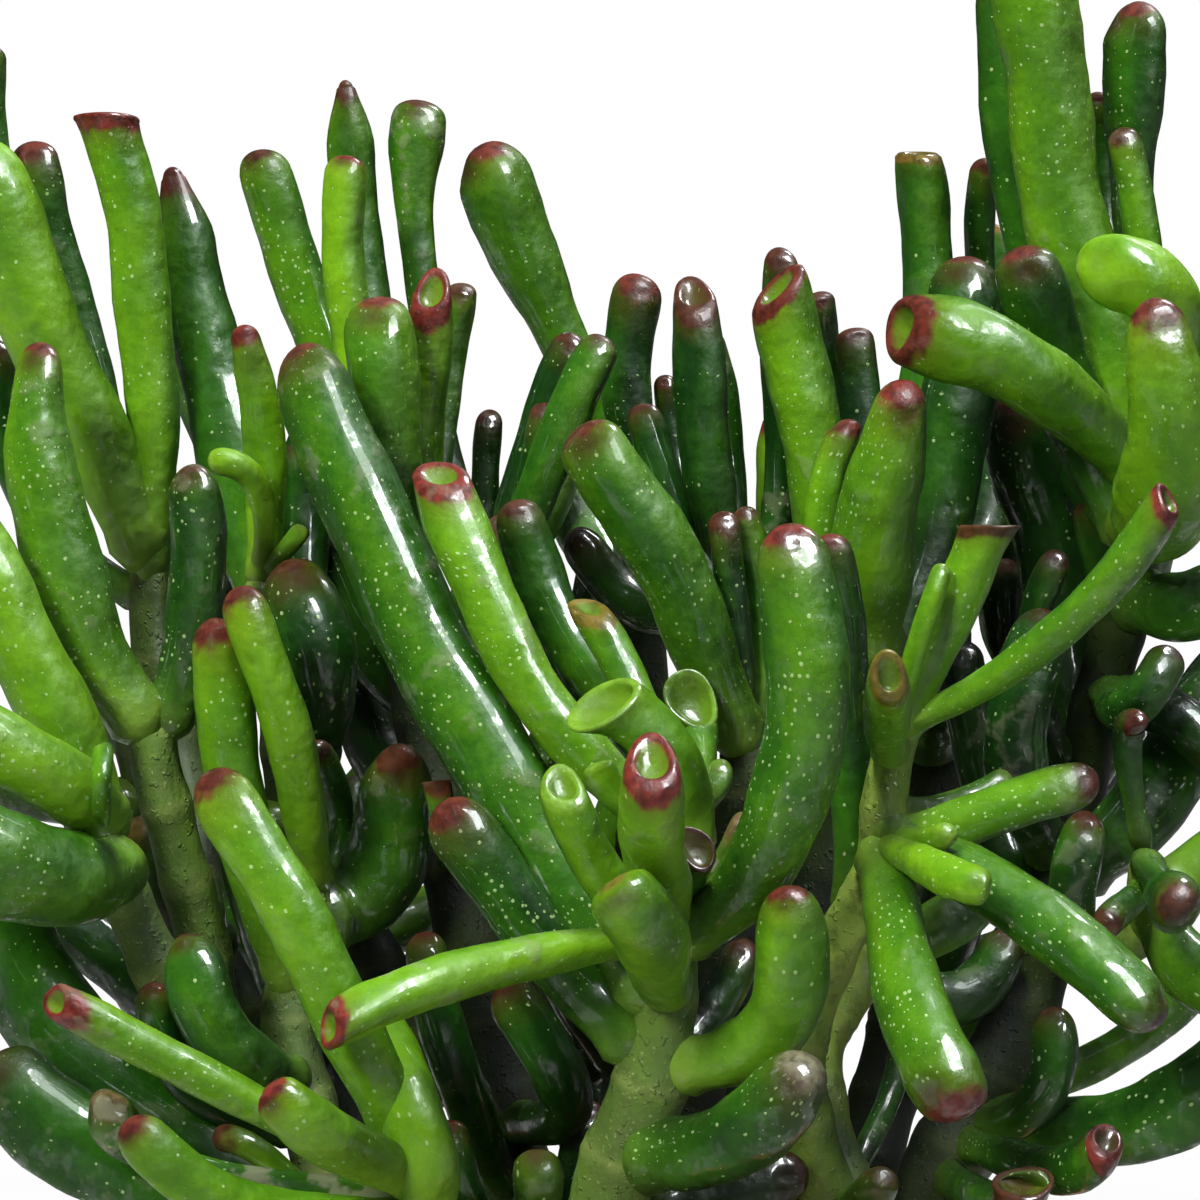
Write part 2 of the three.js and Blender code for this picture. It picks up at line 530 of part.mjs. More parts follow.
function easeApart(leaves, stems) {
  const bodies = [
    ...leaves.map((leaf) => ({ leaf, owner: leaf.owner, beads: leafBeads(leaf) })),
    ...stems.flatMap(({ name, branches }) =>
      branches.map((branch) => ({ owner: name, beads: branchBeads(branch) })),
    ),
  ];
  const pairs = nearPairs(bodies);
  for (let round = 0; round < EASE.rounds; round++) {
    const give = bodies.map(() => ({ middle: 0, tip: 0, weight: 0 }));
    const push = (k, bead, by) => {
      const ease = by / (bead.middle ** 2 + bead.tip ** 2 + EASE.stiffness);
      give[k].middle += Math.abs(by) * bead.middle * ease;
      give[k].tip += Math.abs(by) * bead.tip * ease;
      give[k].weight += Math.abs(by);
    };
    for (const { i, j, touches } of pairs) {
      const near = [];
      let order = 0;
      for (const [m, n, reach] of touches) {
        const p = bodies[i].beads[m];
        const q = bodies[j].beads[n];
        const offset = q.at.clone().sub(p.at);
        const distance = offset.length();
        if (distance >= reach) continue;
        const depth = offset.dot(AWAY);
        const needed = Math.sqrt(reach ** 2 - (distance ** 2 - depth ** 2));
        order += depth * (reach - distance);
        near.push([p, q, depth, needed]);
      }
      const side = order >= 0 ? 1 : -1;
      const share = bodies[i].leaf && bodies[j].leaf ? 0.5 : 1;
      for (const [p, q, depth, needed] of near) {
        const by = side * share * (needed - side * depth);
        push(i, p, -by);
        push(j, q, by);
      }
    }
    bodies.forEach(({ leaf, beads }, k) => {
      if (!leaf || give[k].weight === 0) return;
      const slide = (total) =>
        THREE.MathUtils.clamp((EASE.step * total) / give[k].weight, -EASE.most, EASE.most);
      leaf.middle.addScaledVector(sightLine(leaf.middle), slide(give[k].middle));
      leaf.tip.addScaledVector(sightLine(leaf.tip), slide(give[k].tip));
      beads.forEach((bead) => bead.at.copy(along(leaf, bead.t)));
    });
  }
  return bodies;
}

// ---------------------------------------------------------------- leaves in crossed pairs

// A seeded draw between 0 and 1: a linear congruential generator.
function drawFrom(seed) {
  let state = seed;
  return () => {
    state = (state * 1664525 + 1013904223) % 2 ** 32;
    return state / 2 ** 32;
  };
}

// Whether a bead, seen from the station, is below the skyline and off the clearings.
function isInCrown({ at, radius }) {
  const offset = at.clone().sub(CENTRE);
  const size = SHEET.unit * spread(offset.dot(AWAY));
  const across = SHEET.middle + offset.dot(RIGHT) / size;
  const down = SHEET.middle - offset.dot(UPWARD) / size;
  const reach = radius / size;
  if (CLEARINGS.some(([x, y, open]) => Math.hypot(across - x, down - y) < open + reach)) return false;
  const after = SKYLINE.findIndex(([x]) => x >= across);
  if (after <= 0) return true;
  const [x0, y0] = SKYLINE[after - 1];
  const [x1, y1] = SKYLINE[after];
  return down - reach > y0 + ((y1 - y0) * (across - x0)) / (x1 - x0);
}

const isClear = (body, bodies) =>
  body.beads.every((p) => p.at.z > POT.height + p.radius + SPACING && isInCrown(p)) &&
  bodies.every((other) =>
    body.beads.every((p) =>
      other.beads.every(
        (q) => grownTogether(body, other, p, q) || p.at.distanceTo(q.at) >= p.radius + q.radius + SPACING,
      ),
    ),
  );

// The point at a share of a branch's length, the way that the branch runs there, and its length.
function pointAt(branch, share) {
  const spans = branch.slice(1).map((to, i) => to.at.distanceTo(branch[i].at));
  const length = spans.reduce((sum, span) => sum + span, 0);
  let left = share * length;
  let i = 0;
  while (i < spans.length - 1 && left > spans[i]) {
    left -= spans[i];
    i += 1;
  }
  const axis = branch[i + 1].at.clone().sub(branch[i].at).normalize();
  return { at: branch[i].at.clone().addScaledVector(axis, left), axis, length };
}

// Adds crossed pairs of leaves up a branch. A leaf that would touch another is turned about its
// branch or shortened until it is clear, and is left out where no turn is.
function addPairs(owner, branch, bodies, draw) {
  const within = ([low, high]) => low + (high - low) * draw();
  const leafyShare = 1 - PAIRS.bareShare;
  const count = Math.floor((pointAt(branch, 0).length * leafyShare) / PAIRS.spacing);
  for (let i = 0; i <= count; i++) {
    const { at: root, axis } = pointAt(branch, PAIRS.bareShare + (leafyShare * i) / count);
    const side = vec(0, 1, 0).cross(axis).normalize();
    const other = axis.clone().cross(side);
    const ahead = i === count ? PAIRS.topOpening : 1;
    const first = (i * Math.PI) / 2 + PAIRS.wander * draw();
    for (const half of [0, Math.PI]) {
      const length = within(PAIRS.length);
      const width = within(PAIRS.width);
      const opening = within(PAIRS.opening) * ahead;
      const pick = draw();
      const [form] = Object.entries(PAIRS.forms).find(([, upTo]) => pick < upTo);
      const tries = PAIRS.sizes.flatMap((size) => PAIRS.turns.map((turn) => [size, turn]));
      for (const [size, turn] of tries) {
        const around = first + half + turn;
        const out = side.clone().multiplyScalar(Math.cos(around)).addScaledVector(other, Math.sin(around));
        const step = (angle) =>
          axis.clone().multiplyScalar(Math.cos(angle)).addScaledVector(out, Math.sin(angle));
        const middle = root.clone().addScaledVector(step(opening), (size * length) / 2);
        const tip = middle.clone().addScaledVector(step(opening * PAIRS.closing), (size * length) / 2);
        const slant = OPEN_FORMS.includes(form) ? BACK_SLANT : 0;
        const leaf = { owner, form, half: width / 2, root, middle, tip, face: out, slant };
        const body = { leaf, owner, beads: leafBeads(leaf) };
        if (!isClear(body, bodies)) continue;
        bodies.push(body);
        break;
      }
    }
  }
}

function layOut() {
  const front = stemsOf(STEMS, place);
  const back = stemsOf(BACK_STEMS, ([x, y, z]) => vec(x, y, z));
  const stems = [...front, ...back];
  const bodies = easeApart(front.flatMap(setOutLeaves), stems);
  const draw = drawFrom(PAIRS.seed);
  for (const { name, branches } of back) {
    for (const branch of branches) addPairs(name, branch, bodies, draw);
  }
  return { stems, leaves: bodies.filter((body) => body.leaf).map((body) => body.leaf) };
}

// ---------------------------------------------------------------- solids

function solid(geometry) {
  const bare = geometry.clone();
  bare.deleteAttribute("normal");
  bare.deleteAttribute("uv");
  const merged = mergeVertices(bare, WELD);
  return new wasm.Manifold(
    new wasm.Mesh({
      numProp: 3,
      vertProperties: new Float32Array(merged.attributes.position.array),
      triVerts: new Uint32Array(merged.index.array),
    }),
  );
}

// A closed skin over rings of points, from a start point to an end point.
function skin(rings, start, end) {
  const sides = rings[0].length;
  const points = [...rings.flat(), start, end];
  const first = points.length - 2;
  const last = points.length - 1;
  const index = [];
  for (let r = 0; r + 1 < rings.length; r++) {
    for (let s = 0; s < sides; s++) {
      const a = r * sides + s;
      const b = r * sides + ((s + 1) % sides);
      index.push(a, b, a + sides, b, b + sides, a + sides);
    }
  }
  const top = (rings.length - 1) * sides;
  for (let s = 0; s < sides; s++) {
    index.push(first, (s + 1) % sides, s, last, top + s, top + ((s + 1) % sides));
  }
  const positions = new Float32Array(points.flatMap((p) => p.toArray()));
  const geometry = new THREE.BufferGeometry();
  geometry.setAttribute("position", new THREE.BufferAttribute(positions, 3));
  return solid(geometry.setIndex(index));
}

// A leaf's rings stand square to its axis, but a trumpet's lean towards its rim, so that its mouth
// looks to the side it faces.
function leafSolid(leaf) {
  const { half, form, face, slant } = leaf;
  const tangentAt = (t) => {
    const [before, after] = [Math.max(t - SLOPE_STEP, 0), Math.min(t + SLOPE_STEP, 1)];
    return along(leaf, after).sub(along(leaf, before)).normalize();
  };
  const ring = (t, radius, sink) => {
    const tangent = tangentAt(t);
    const front = face.clone().addScaledVector(tangent, -face.dot(tangent)).normalize();
    const across = tangent.clone().cross(front);
    const lean = slant * THREE.MathUtils.smoothstep(t, LEAN_FROM, 1);
    return Array.from({ length: LEAF_SIDES }, (_, s) => {
      const turn = (2 * Math.PI * s) / LEAF_SIDES;
      const out = Math.sin(turn) * radius * LEAF_THICKNESS;
      return along(leaf, t)
        .addScaledVector(across, -Math.cos(turn) * radius)
        .addScaledVector(front, out)
        .addScaledVector(tangent, -sink - lean * out);
    });
  };
  const rings = rowsOf(leaf).map(([t, w]) => ring(t, w * half, 0));
  const end = leaf.tip.clone();
  if (OPEN_FORMS.includes(form)) {
    rings.push(ring(1, DISH.lip * FORMS[form].at(-1)[1] * half, DISH.drop * half));
    end.addScaledVector(tangentAt(1), -DISH.depth * half);
  }
  return skin(rings, leaf.root, end);
}

function branchSolid(points) {
  const path = new THREE.CatmullRomCurve3(points.map((p) => p.at), false, "centripetal");
  let side = vec(1, 0, 0);
  const rings = points.map(({ at, radius }, i) => {
    const tangent = path.getTangent(i / (points.length - 1));
    side = side.addScaledVector(tangent, -side.dot(tangent)).normalize();
    const other = tangent.clone().cross(side);
    return Array.from({ length: STEM_SIDES }, (_, s) => {
      const turn = (2 * Math.PI * s) / STEM_SIDES;
      return at
        .clone()
        .addScaledVector(side, Math.cos(turn) * radius)
        .addScaledVector(other, Math.sin(turn) * radius);
    });
  });
  return skin(rings, points[0].at, points.at(-1).at);
}

function lathe(profile, sides) {
  const points = profile.map(([r, z]) => new THREE.Vector2(r, z));
  return solid(new THREE.LatheGeometry(points, sides).rotateX(Math.PI / 2));
}

function post(x, y, low, high, radius, sides) {
  const shape = new THREE.CylinderGeometry(radius, radius, high - low, sides).rotateX(Math.PI / 2);
  return solid(shape.translate(x, y, (low + high) / 2));
}

// The pot's inside radius at a height: a straight taper.
function potInside(z) {
  const top = POT.topRadius - POT.wall;
  const bottom = POT.footRadius - POT.wall;
  return bottom + ((top - bottom) * z) / POT.height;
}

function potSolid() {
  const { height, topRadius, footRadius, bandHeight, bandStep, chamfer, wall, floor, sides } = POT;
  const bandLow = height - bandHeight;
  let pot = lathe(
    [[0, 0], [footRadius, 0], [footRadius + chamfer, chamfer], [topRadius - bandStep, bandLow],
      [topRadius - chamfer, bandLow], [topRadius, height - chamfer], [topRadius - chamfer, height],
      [topRadius - wall, height], [potInside(floor), floor], [0, floor]],
    sides,
  );
  for (let i = 0; i < POT.drains; i++) {
    const turn = (2 * Math.PI * (i + 0.5)) / POT.drains;
    const x = POT.drainCircle * Math.cos(turn);
    const y = POT.drainCircle * Math.sin(turn);
    pot = pot.subtract(post(x, y, -CUT, floor + CUT, POT.drainRadius, POT.drainSides));
  }
  return pot;
}

function soilSolid(stems) {
  const bottom = POT.floor + SOIL.clearance;
  const edge = potInside(SOIL.top) - SOIL.clearance;
  const profile = [[0, bottom], [potInside(bottom) - SOIL.clearance, bottom], [edge, SOIL.top]];
  for (const share of SOIL.rings) {
    const lump = SOIL.lump * Math.sin(SOIL.waves * share);
    profile.push([share * edge, SOIL.top + SOIL.dome * (1 - share ** 2) + lump]);
  }
  let soil = lathe(profile, SOIL.sides);
  for (const { branches } of stems) {
    const { at, radius } = branches[0][0];
    const [low, high] = [SOIL.top - SOCKET.depth, SOIL.top + SOIL.dome + SOIL.lump + CUT];
    soil = soil.subtract(post(at.x, at.y, low, high, radius + SOCKET.clearance, SOCKET.sides));
  }
  return soil;
}

// ---------------------------------------------------------------- the scene

const MATERIALS = {
  terracotta: new THREE.MeshStandardMaterial({ color: "#b9673f", roughness: 0.85, metalness: 0 }),
  pottingMix: new THREE.MeshStandardMaterial({ color: "#2e2119", roughness: 1, metalness: 0 }),
  jade: new THREE.MeshStandardMaterial({ color: "#4f9a1e", roughness: 0.32, metalness: 0 }),
};

function meshOf(name, manifold, material) {
  const { vertProperties, triVerts } = manifold.getMesh();
  const geometry = new THREE.BufferGeometry();
  geometry.setAttribute("position", new THREE.BufferAttribute(vertProperties, 3));
  geometry.setIndex(new THREE.BufferAttribute(triVerts, 1));
  geometry.computeVertexNormals();
  const mesh = new THREE.Mesh(geometry, material);
  mesh.name = name;
  return mesh;
}

// Leaves that touch all round can close off a void between them, which comes apart as a body turned
// inside out: without it the stem is solid there.
const withoutVoids = (manifold) =>
  wasm.Manifold.compose(manifold.decompose().filter((body) => body.volume() > 0));

const { stems, leaves } = layOut();
const plant = new THREE.Group();
plant.add(meshOf("pot", potSolid(), MATERIALS.terracotta));
plant.add(meshOf("potting_mix", soilSolid(stems), MATERIALS.pottingMix));
for (const { name, branches } of stems) {
  const own = leaves.filter((leaf) => leaf.owner === name).map(leafSolid);
  const grown = wasm.Manifold.union([...branches.map(branchSolid), ...own]).simplify(FINEST);
  plant.add(meshOf(name, withoutVoids(grown), MATERIALS.jade));
}

export default plant;
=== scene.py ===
"""A trumpet jade in a terracotta pot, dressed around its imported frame.

The file is laid out as a Blender add-on and run as a script. Its operators make the leafy stems, the
pot, the potting mix and the stage. Every new piece is a surface worked out with numpy: rings of points
carried along a path, or a profile turned about an axis. Sizes are in metres, apart from the setting
out of the plant, which is in millimetres.
"""

import math

import bpy
import numpy as np
from bpy.props import FloatProperty, FloatVectorProperty, IntProperty, PointerProperty
from bpy.types import Operator, Panel, PropertyGroup
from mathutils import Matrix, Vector


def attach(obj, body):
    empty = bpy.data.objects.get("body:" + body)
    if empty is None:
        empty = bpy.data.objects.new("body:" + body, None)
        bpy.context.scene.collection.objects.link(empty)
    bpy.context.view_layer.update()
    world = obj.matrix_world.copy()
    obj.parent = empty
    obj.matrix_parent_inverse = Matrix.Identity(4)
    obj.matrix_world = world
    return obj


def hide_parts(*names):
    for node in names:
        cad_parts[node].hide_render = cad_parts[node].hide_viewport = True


bl_info = {
    "name": "Trumpet jade",
    "version": (1, 0, 0),
    "blender": (4, 5, 0),
    "location": "View3D > Sidebar > Jade",
    "description": "A potted trumpet jade with finger leaves on branching stems",
    "category": "Object",
}

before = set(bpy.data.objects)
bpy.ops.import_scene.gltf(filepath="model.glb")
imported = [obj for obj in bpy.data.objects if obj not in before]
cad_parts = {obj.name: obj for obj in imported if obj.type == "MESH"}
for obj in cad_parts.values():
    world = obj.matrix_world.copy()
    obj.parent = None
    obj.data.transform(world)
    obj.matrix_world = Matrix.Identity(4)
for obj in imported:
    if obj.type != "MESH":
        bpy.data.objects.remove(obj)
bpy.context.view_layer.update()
BODY = "root"
MM = 0.001

# ------------------------------------------------------------------ setting out, in millimetres

# The front of the crown is set out on a sheet through its middle, leaning back a little, and seen from
# a station in front of it. A point has its place on the sheet, across and down in units, and a depth
# behind the sheet: it lies on the line from the station through that place.
UNIT = 0.12
MIDDLE = 600
STATION_DISTANCE = 450
LEAN = math.radians(8)
RIGHT = np.array([1.0, 0.0, 0.0])
AWAY = np.array([0.0, math.cos(LEAN), -math.sin(LEAN)])
UPWARD = np.array([0.0, math.sin(LEAN), math.cos(LEAN)])
CENTRE = np.array([0.0, 0.0, 204.0])
STATION = CENTRE - STATION_DISTANCE * AWAY

# The stems' sockets in the potting mix: their depth, the air under a stem, and the stretch below and
# above the mix's edge where a stem is straight.
SOIL_TOP = 97
SOCKET_DEPTH = 24
SOCKET_AIR = 0.4
STRAIGHT = (8, 5)
SOCKET_HEIGHTS = (SOIL_TOP - SOCKET_DEPTH + SOCKET_AIR, SOIL_TOP - STRAIGHT[0], SOIL_TOP + STRAIGHT[1])
# The pot's rim, band, floor and drain holes, and the potting mix in it.
RIM_HEIGHT = 110
BAND_LOW = 86
POT_FLOOR = 7
DRAINS = 4
DRAIN_CIRCLE = 22
DRAIN_RADIUS = 3.5
MIX_RADIUS = 52.3
MIX_FOOT = 36.6
MIX_CLEARANCE = 0.4
PEAT = (0.028, 0.017, 0.01)

# Which way a leaf's mouth or upper face looks: right, up, away from the station.
FACING = {
    "front": (0, 0, -1),
    "back": (0, 0, 1),
    "left": (-1, 0.2, -0.5),
    "right": (1, 0.1, -0.6),
    "up": (0, 1, -0.7),
    "down": (0, -0.8, -1),
}

# A stem: the foot's x and y, then its branches, as rows of across, down, depth, radius. The first
# branch rises from the foot, and the others start on one before them. A leaf: form, width on the
# sheet, root across and down, middle and tip with their depths, facing, tone from deep green at 0 to
# lime at 1, which is partly the leaf's own green and partly painted light and shade, lighter where
# the leaf stands in the light and darker where it stands in shade, and the mark of its cap. A leaf's
# root is taken to the nearest point of its own stem.
STEMS = {
    "stem_front": {
        "foot": (4, -20),
        "branches": [
            [(612, 1190, -22, 4.6), (650, 1080, -26, 4.3), (666, 1000, -27, 3.7), (672, 930, -27, 3.3),
            (684, 860, -25, 2.8), (694, 800, -22, 2.2)],
        ],
        "leaves": [
            ("cup", 58, (655, 945), (490, 966, -36), (332, 1026, -42), "left", 0.85, "r"),
            ("finger", 76, (664, 1010), (652, 945, -46), (612, 880, -54), "front", 0.72, "o"),
            ("finger", 84, (675, 950), (794, 790, -38), (784, 524, -42), "front", 0.42, "r+"),
            ("finger", 74, (652, 1085), (769, 1030, -36), (786, 886, -40), "front", 0.6, "m"),
            ("finger", 84, (612, 1185), (722, 1142, -32), (812, 1060, -38), "front", 0.15, "c+"),
            ("finger", 68, (652, 1062), (550, 950, -24), (443, 803, -26), "front", 0.2, "m+"),
            ("cup", 52, (668, 960), (597, 865, -36), (563, 788, -40), "front", 0.85, "g"),
            ("cup", 70, (680, 905), (656, 850, -44), (652, 764, -56), "front", 0.85, "r"),
            ("trumpet", 72, (690, 850), (678, 765, -30), (607, 706, -34), "up", 0.78, "g"),
            ("cup", 42, (692, 815), (634, 690, -18), (590, 610, -16), "front", 0.6, "o"),
            ("trumpet", 50, (694, 800), (698, 748, -12), (692, 702, -8), "front", 0.5, "g"),
            ("finger", 30, (694, 815), (714, 790, -16), (720, 760, -14), "front", 0.45, "g"),
            ("trumpet", 36, (686, 890), (694, 872, -38), (697, 850, -46), "front", 0.25, "b"),
            ("finger", 34, (684, 860), (622, 802, -26), (596, 764, -27), "front", 0.8, "g"),
            ("finger", 30, (674, 925), (716, 880, -30), (746, 812, -32), "front", 0.3, "s"),
            ("finger", 44, (655, 1060), (712, 1012, -20), (746, 940, -18), "front", 0.15, "b"),
            ("cup", 64, (684, 870), (540, 695, -17), (441, 478, -18), "front", 0.75, "r+"),
            ("finger", 100, (668, 985), (464, 716, -14), (298, 346, -10), "left", 0.34, "m+"),
            ("finger", 58, (690, 830), (572, 645, -7), (516, 500, -6), "front", 0.25, "b"),
            ("finger", 66, (606, 1196), (712, 1198, -18), (806, 1168, -16), "front", 0.05, "b"),
        ],
    },
    "stem_front_right": {
        "foot": (27, -13),
        "branches": [
            [(842, 1330, -8, 5), (846, 1220, -8, 4.2), (824, 1120, -8, 3.2), (822, 1045, -7, 2.9),
            (858, 985, -6, 2.8), (890, 940, -4, 2.5)],
            [(846, 1240, -8, 3.6), (812, 1140, -13, 3.3), (800, 1055, -16, 3), (838, 945, -19, 2.8),
            (878, 865, -21, 2.8), (886, 790, -22, 2.7), (900, 725, -22, 2.4), (912, 685, -21, 2)],
        ],
        "leaves": [
            ("trumpet", 58, (898, 745), (938, 635, -27), (989, 530, -30), "back", 0.8, "b"),
            ("finger", 24, (892, 750), (917, 645, -30), (945, 566, -28), "front", 0.8, "g"),
            ("cup", 48, (905, 715), (1048, 640, -33), (1167, 503, -42), "right", 0.62, "r+"),
            ("cup", 50, (893, 760), (888, 722, -32), (889, 676, -42), "front", 0.7, "o"),
            ("finger", 52, (885, 850), (985, 815, -27), (1098, 777, -28), "front", 0.6, "m+"),
            ("finger", 32, (888, 800), (960, 803, -15), (1010, 776, -13), "front", 0.5, "g"),
            ("finger", 30, (885, 850), (920, 842, -32), (950, 831, -36), "front", 0.75, "g"),
            ("finger", 42, (883, 865), (938, 872, -36), (991, 889, -44), "front", 0.9, "g"),
            ("finger", 76, (886, 854), (1032, 914, -35), (1160, 1026, -42), "right", 0.36, "b+"),
            ("finger", 80, (878, 870), (912, 995, -38), (960, 1116, -46), "down", 0.52, "r+"),
            ("finger", 50, (848, 930), (849, 725, -22), (827, 534, -22), "front", 0.2, "m"),
            ("finger", 42, (848, 1240), (868, 1198, -16), (884, 1168, -18), "front", 0.3, "o"),
            ("finger", 26, (846, 1170), (886, 1104, 12), (900, 1042, 20), "front", 0.1, "b"),
            ("finger", 56, (870, 985), (955, 1000, 2), (1010, 930, 4), "front", 0.12, "b"),
            ("finger", 56, (885, 960), (935, 928, -6), (988, 890, -8), "front", 0.5, "b"),
        ],
    },
    "stem_right": {
        "foot": (41, 3),
        "branches": [
            [(928, 1300, 4, 5.2), (930, 1200, 3, 4.8), (985, 1090, 4, 4.5), (1032, 985, 6, 4.2),
            (1055, 900, 8, 3.8), (1078, 790, 11, 3.5), (1110, 660, 12, 3.3), (1135, 560, 12, 3),
            (1146, 470, 12, 2.6), (1148, 425, 12, 2)],
            [(1048, 930, 7, 3.4), (1092, 944, 2, 3.2), (1130, 936, -3, 3), (1148, 895, -8, 2.6),
            (1143, 850, -9, 2)],
        ],
        "leaves": [
            ("taper", 104, (1140, 510), (1168, 490, -16), (1154, 298, -26), "front", 0.74, "m"),
            ("cup", 88, (1146, 480), (1036, 380, 0), (906, 328, -8), "left", 0.75, "m"),
            ("finger", 90, (1146, 480), (1066, 215, 10), (1030, -80, 6), "front", 0.66, "g"),
            ("finger", 44, (1140, 530), (1027, 250, 20), (997, -30, 20), "front", 0.25, "b"),
            ("finger", 30, (1147, 450), (1050, 190, 24), (1061, -55, 22), "front", 0.2, "b"),
            ("finger", 32, (1135, 560), (1004, 360, 27), (986, 160, 28), "front", 0.2, "b"),
            ("club", 86, (1148, 430), (1176, 316, 0), (1076, 264, -6), "left", 0.95, "g"),
            ("club", 74, (1147, 430), (1135, 230, 20), (1136, 2, 18), "left", 0.3, "m"),
            ("finger", 32, (1146, 450), (1108, 260, 28), (1098, 92, 28), "front", 0.25, "b"),
            ("finger", 38, (1147, 440), (1146, 265, 14), (1120, 129, 12), "front", 0.6, "b"),
            ("finger", 74, (1138, 545), (1062, 375, 6), (1022, 249, 2), "front", 0.2, "m"),
            ("finger", 60, (1147, 460), (1230, 360, 4), (1224, 236, 0), "front", 0.4, "b"),
            ("finger", 34, (1146, 460), (1106, 320, 34), (1090, 195, 34), "front", 0.15, "m"),
            ("finger", 34, (1082, 780), (1032, 665, 5), (1062, 552, 4), "front", 0.05, "b"),
            ("finger", 66, (1068, 850), (1016, 750, 0), (1052, 612, 4), "front", 0.1, "b"),
            ("finger", 44, (1105, 680), (1130, 708, -2), (1172, 648, -8), "front", 0.15, "b"),
            ("finger", 74, (1128, 590), (1184, 608, 2), (1255, 568, 0), "front", 0.15, "b"),
            ("finger", 56, (1100, 700), (1165, 712, 8), (1235, 770, 4), "front", 0.15, "b"),
            ("finger", 50, (1040, 965), (1070, 905, -1), (1090, 812, -5), "front", 0.15, "b"),
            ("finger", 78, (1062, 880), (1150, 800, 8), (1236, 645, 8), "front", 0.15, "b"),
            ("finger", 30, (1090, 740), (1128, 742, -4), (1141, 731, -12), "front", 0.1, "m"),
            ("club", 62, (1145, 890), (1166, 893, -22), (1178, 903, -36), "front", 0.2, "b"),
            ("finger", 74, (1150, 950), (1216, 982, -16), (1300, 952, -22), "front", 0.4, "b"),
            ("finger", 56, (1146, 900), (1205, 860, -8), (1285, 780, -8), "front", 0.6, "b"),
            ("finger", 34, (1148, 915), (1122, 908, -20), (1104, 928, -25), "front", 0.3, "b"),
            ("finger", 86, (1040, 1150), (1168, 1113, -12), (1296, 974, -16), "front", 0.2, "b"),
            ("finger", 42, (1030, 1112), (1132, 1040, 4), (1280, 882, 4), "front", 0.6, "b"),
            ("cup", 56, (1010, 1170), (1056, 1168, -24), (1106, 1142, -32), "right", 0.3, "r+"),
            ("trumpet", 56, (960, 1190), (1000, 1205, -26), (1024, 1186, -34), "front", 0.3, "b"),
            ("finger", 50, (1020, 1160), (1044, 1095, -7), (1050, 1008, -6), "front", 0.1, "b"),
            ("finger", 84, (1082, 800), (1062, 600, 22), (1008, 398, 22), "front", 0.02, "b"),
            ("finger", 54, (1040, 960), (984, 780, 16), (958, 640, 16), "front", 0.05, "b"),
            ("finger", 46, (1112, 650), (1108, 580, 20), (1088, 498, 22), "front", 0.05, "b"),
        ],
    },
    "stem_front_left": {
        "foot": (-25, -21),
        "branches": [
            [(428, 1350, -20, 4.8), (434, 1265, -26, 4.1), (426, 1215, -30, 3.4), (412, 1178, -32, 2.4)],
            [(428, 1345, -20, 4.2), (350, 1240, -15, 4), (312, 1125, -10, 3.7), (290, 1010, -8, 3.3),
            (306, 925, -8, 2.9), (318, 880, -8, 2.2)],
        ],
        "leaves": [
            ("cup", 48, (415, 1190), (240, 1096, -38), (58, 1003, -44), "left", 0.85, "r+"),
            ("finger", 62, (430, 1240), (342, 1144, -48), (266, 1088, -55), "front", 0.85, "r"),
            ("finger", 68, (424, 1210), (332, 988, -37), (206, 772, -41), "front", 0.75, "m"),
            ("finger", 74, (434, 1262), (412, 1122, -33), (365, 1008, -32), "front", 0.8, "g"),
            ("finger", 58, (432, 1285), (252, 1208, -42), (127, 1120, -48), "front", 0.75, "m"),
            ("finger", 100, (428, 1340), (152, 1188, -28), (-14, 1060, -25), "front", 0.3, "b"),
            ("finger", 28, (350, 1235), (276, 1166, -24), (216, 1138, -24), "front", 0.6, "b"),
            ("finger", 50, (316, 895), (290, 748, -20), (237, 587, -24), "front", 0.9, "m"),
            ("finger", 62, (291, 1000), (245, 830, -18), (215, 619, -21), "front", 0.7, "m"),
            ("finger", 64, (302, 1080), (230, 1045, -16), (187, 935, -18), "front", 0.25, "b"),
            ("finger", 44, (312, 1125), (190, 1085, -15), (158, 982, -16), "front", 0.05, "b"),
            ("club", 62, (340, 1210), (186, 1166, -28), (107, 1100, -37), "left", 0.3, "s"),
            ("finger", 108, (350, 1240), (78, 1045, -14), (-60, 800, -14), "front", 0.2, "b"),
            ("finger", 88, (308, 920), (378, 872, -8), (398, 750, -12), "front", 0.2, "b"),
            ("finger", 30, (314, 900), (340, 822, 0), (315, 746, -2), "front", 0.4, "b"),
        ],
    },
    "stem_left": {
        "foot": (-38, 5),
        "branches": [
            [(262, 1300, 5, 4.9), (236, 1160, 0, 4.3), (213, 1035, -6, 3.8), (200, 930, -10, 3.3),
            (172, 830, -13, 3), (153, 745, -15, 2.9), (154, 695, -15, 2.2)],
            [(222, 1085, -4, 3.6), (166, 985, -14, 3.4), (129, 905, -18, 3), (110, 855, -21, 2.6),
            (100, 820, -22, 2)],
            [(198, 920, -8, 3.2), (188, 800, 0, 3.2), (160, 690, 3, 2.8), (150, 600, 4, 2.5),
            (150, 552, 4, 2.2)],
        ],
        "leaves": [
            ("taper", 84, (148, 735), (58, 560, -22), (42, 342, -19), "front", 0.54, "m+"),
            ("finger", 62, (153, 740), (195, 622, -20), (192, 464, -20), "front", 0.12, "b+"),
            ("finger", 80, (110, 850), (36, 668, -26), (-60, 490, -26), "front", 0.8, "g"),
            ("finger", 80, (106, 845), (42, 772, -32), (-100, 690, -36), "front", 0.84, "g"),
            ("finger", 106, (120, 880), (46, 878, -32), (-120, 790, -42), "front", 0.48, "g"),
            ("finger", 22, (110, 850), (102, 795, -32), (104, 745, -33), "front", 0.6, "g+"),
            ("finger", 84, (144, 560), (54, 350, -4), (-26, 140, -8), "front", 0.82, "g"),
            ("trumpet", 64, (160, 590), (147, 330, 0), (108, 122, -2), "back", 0.72, "r"),
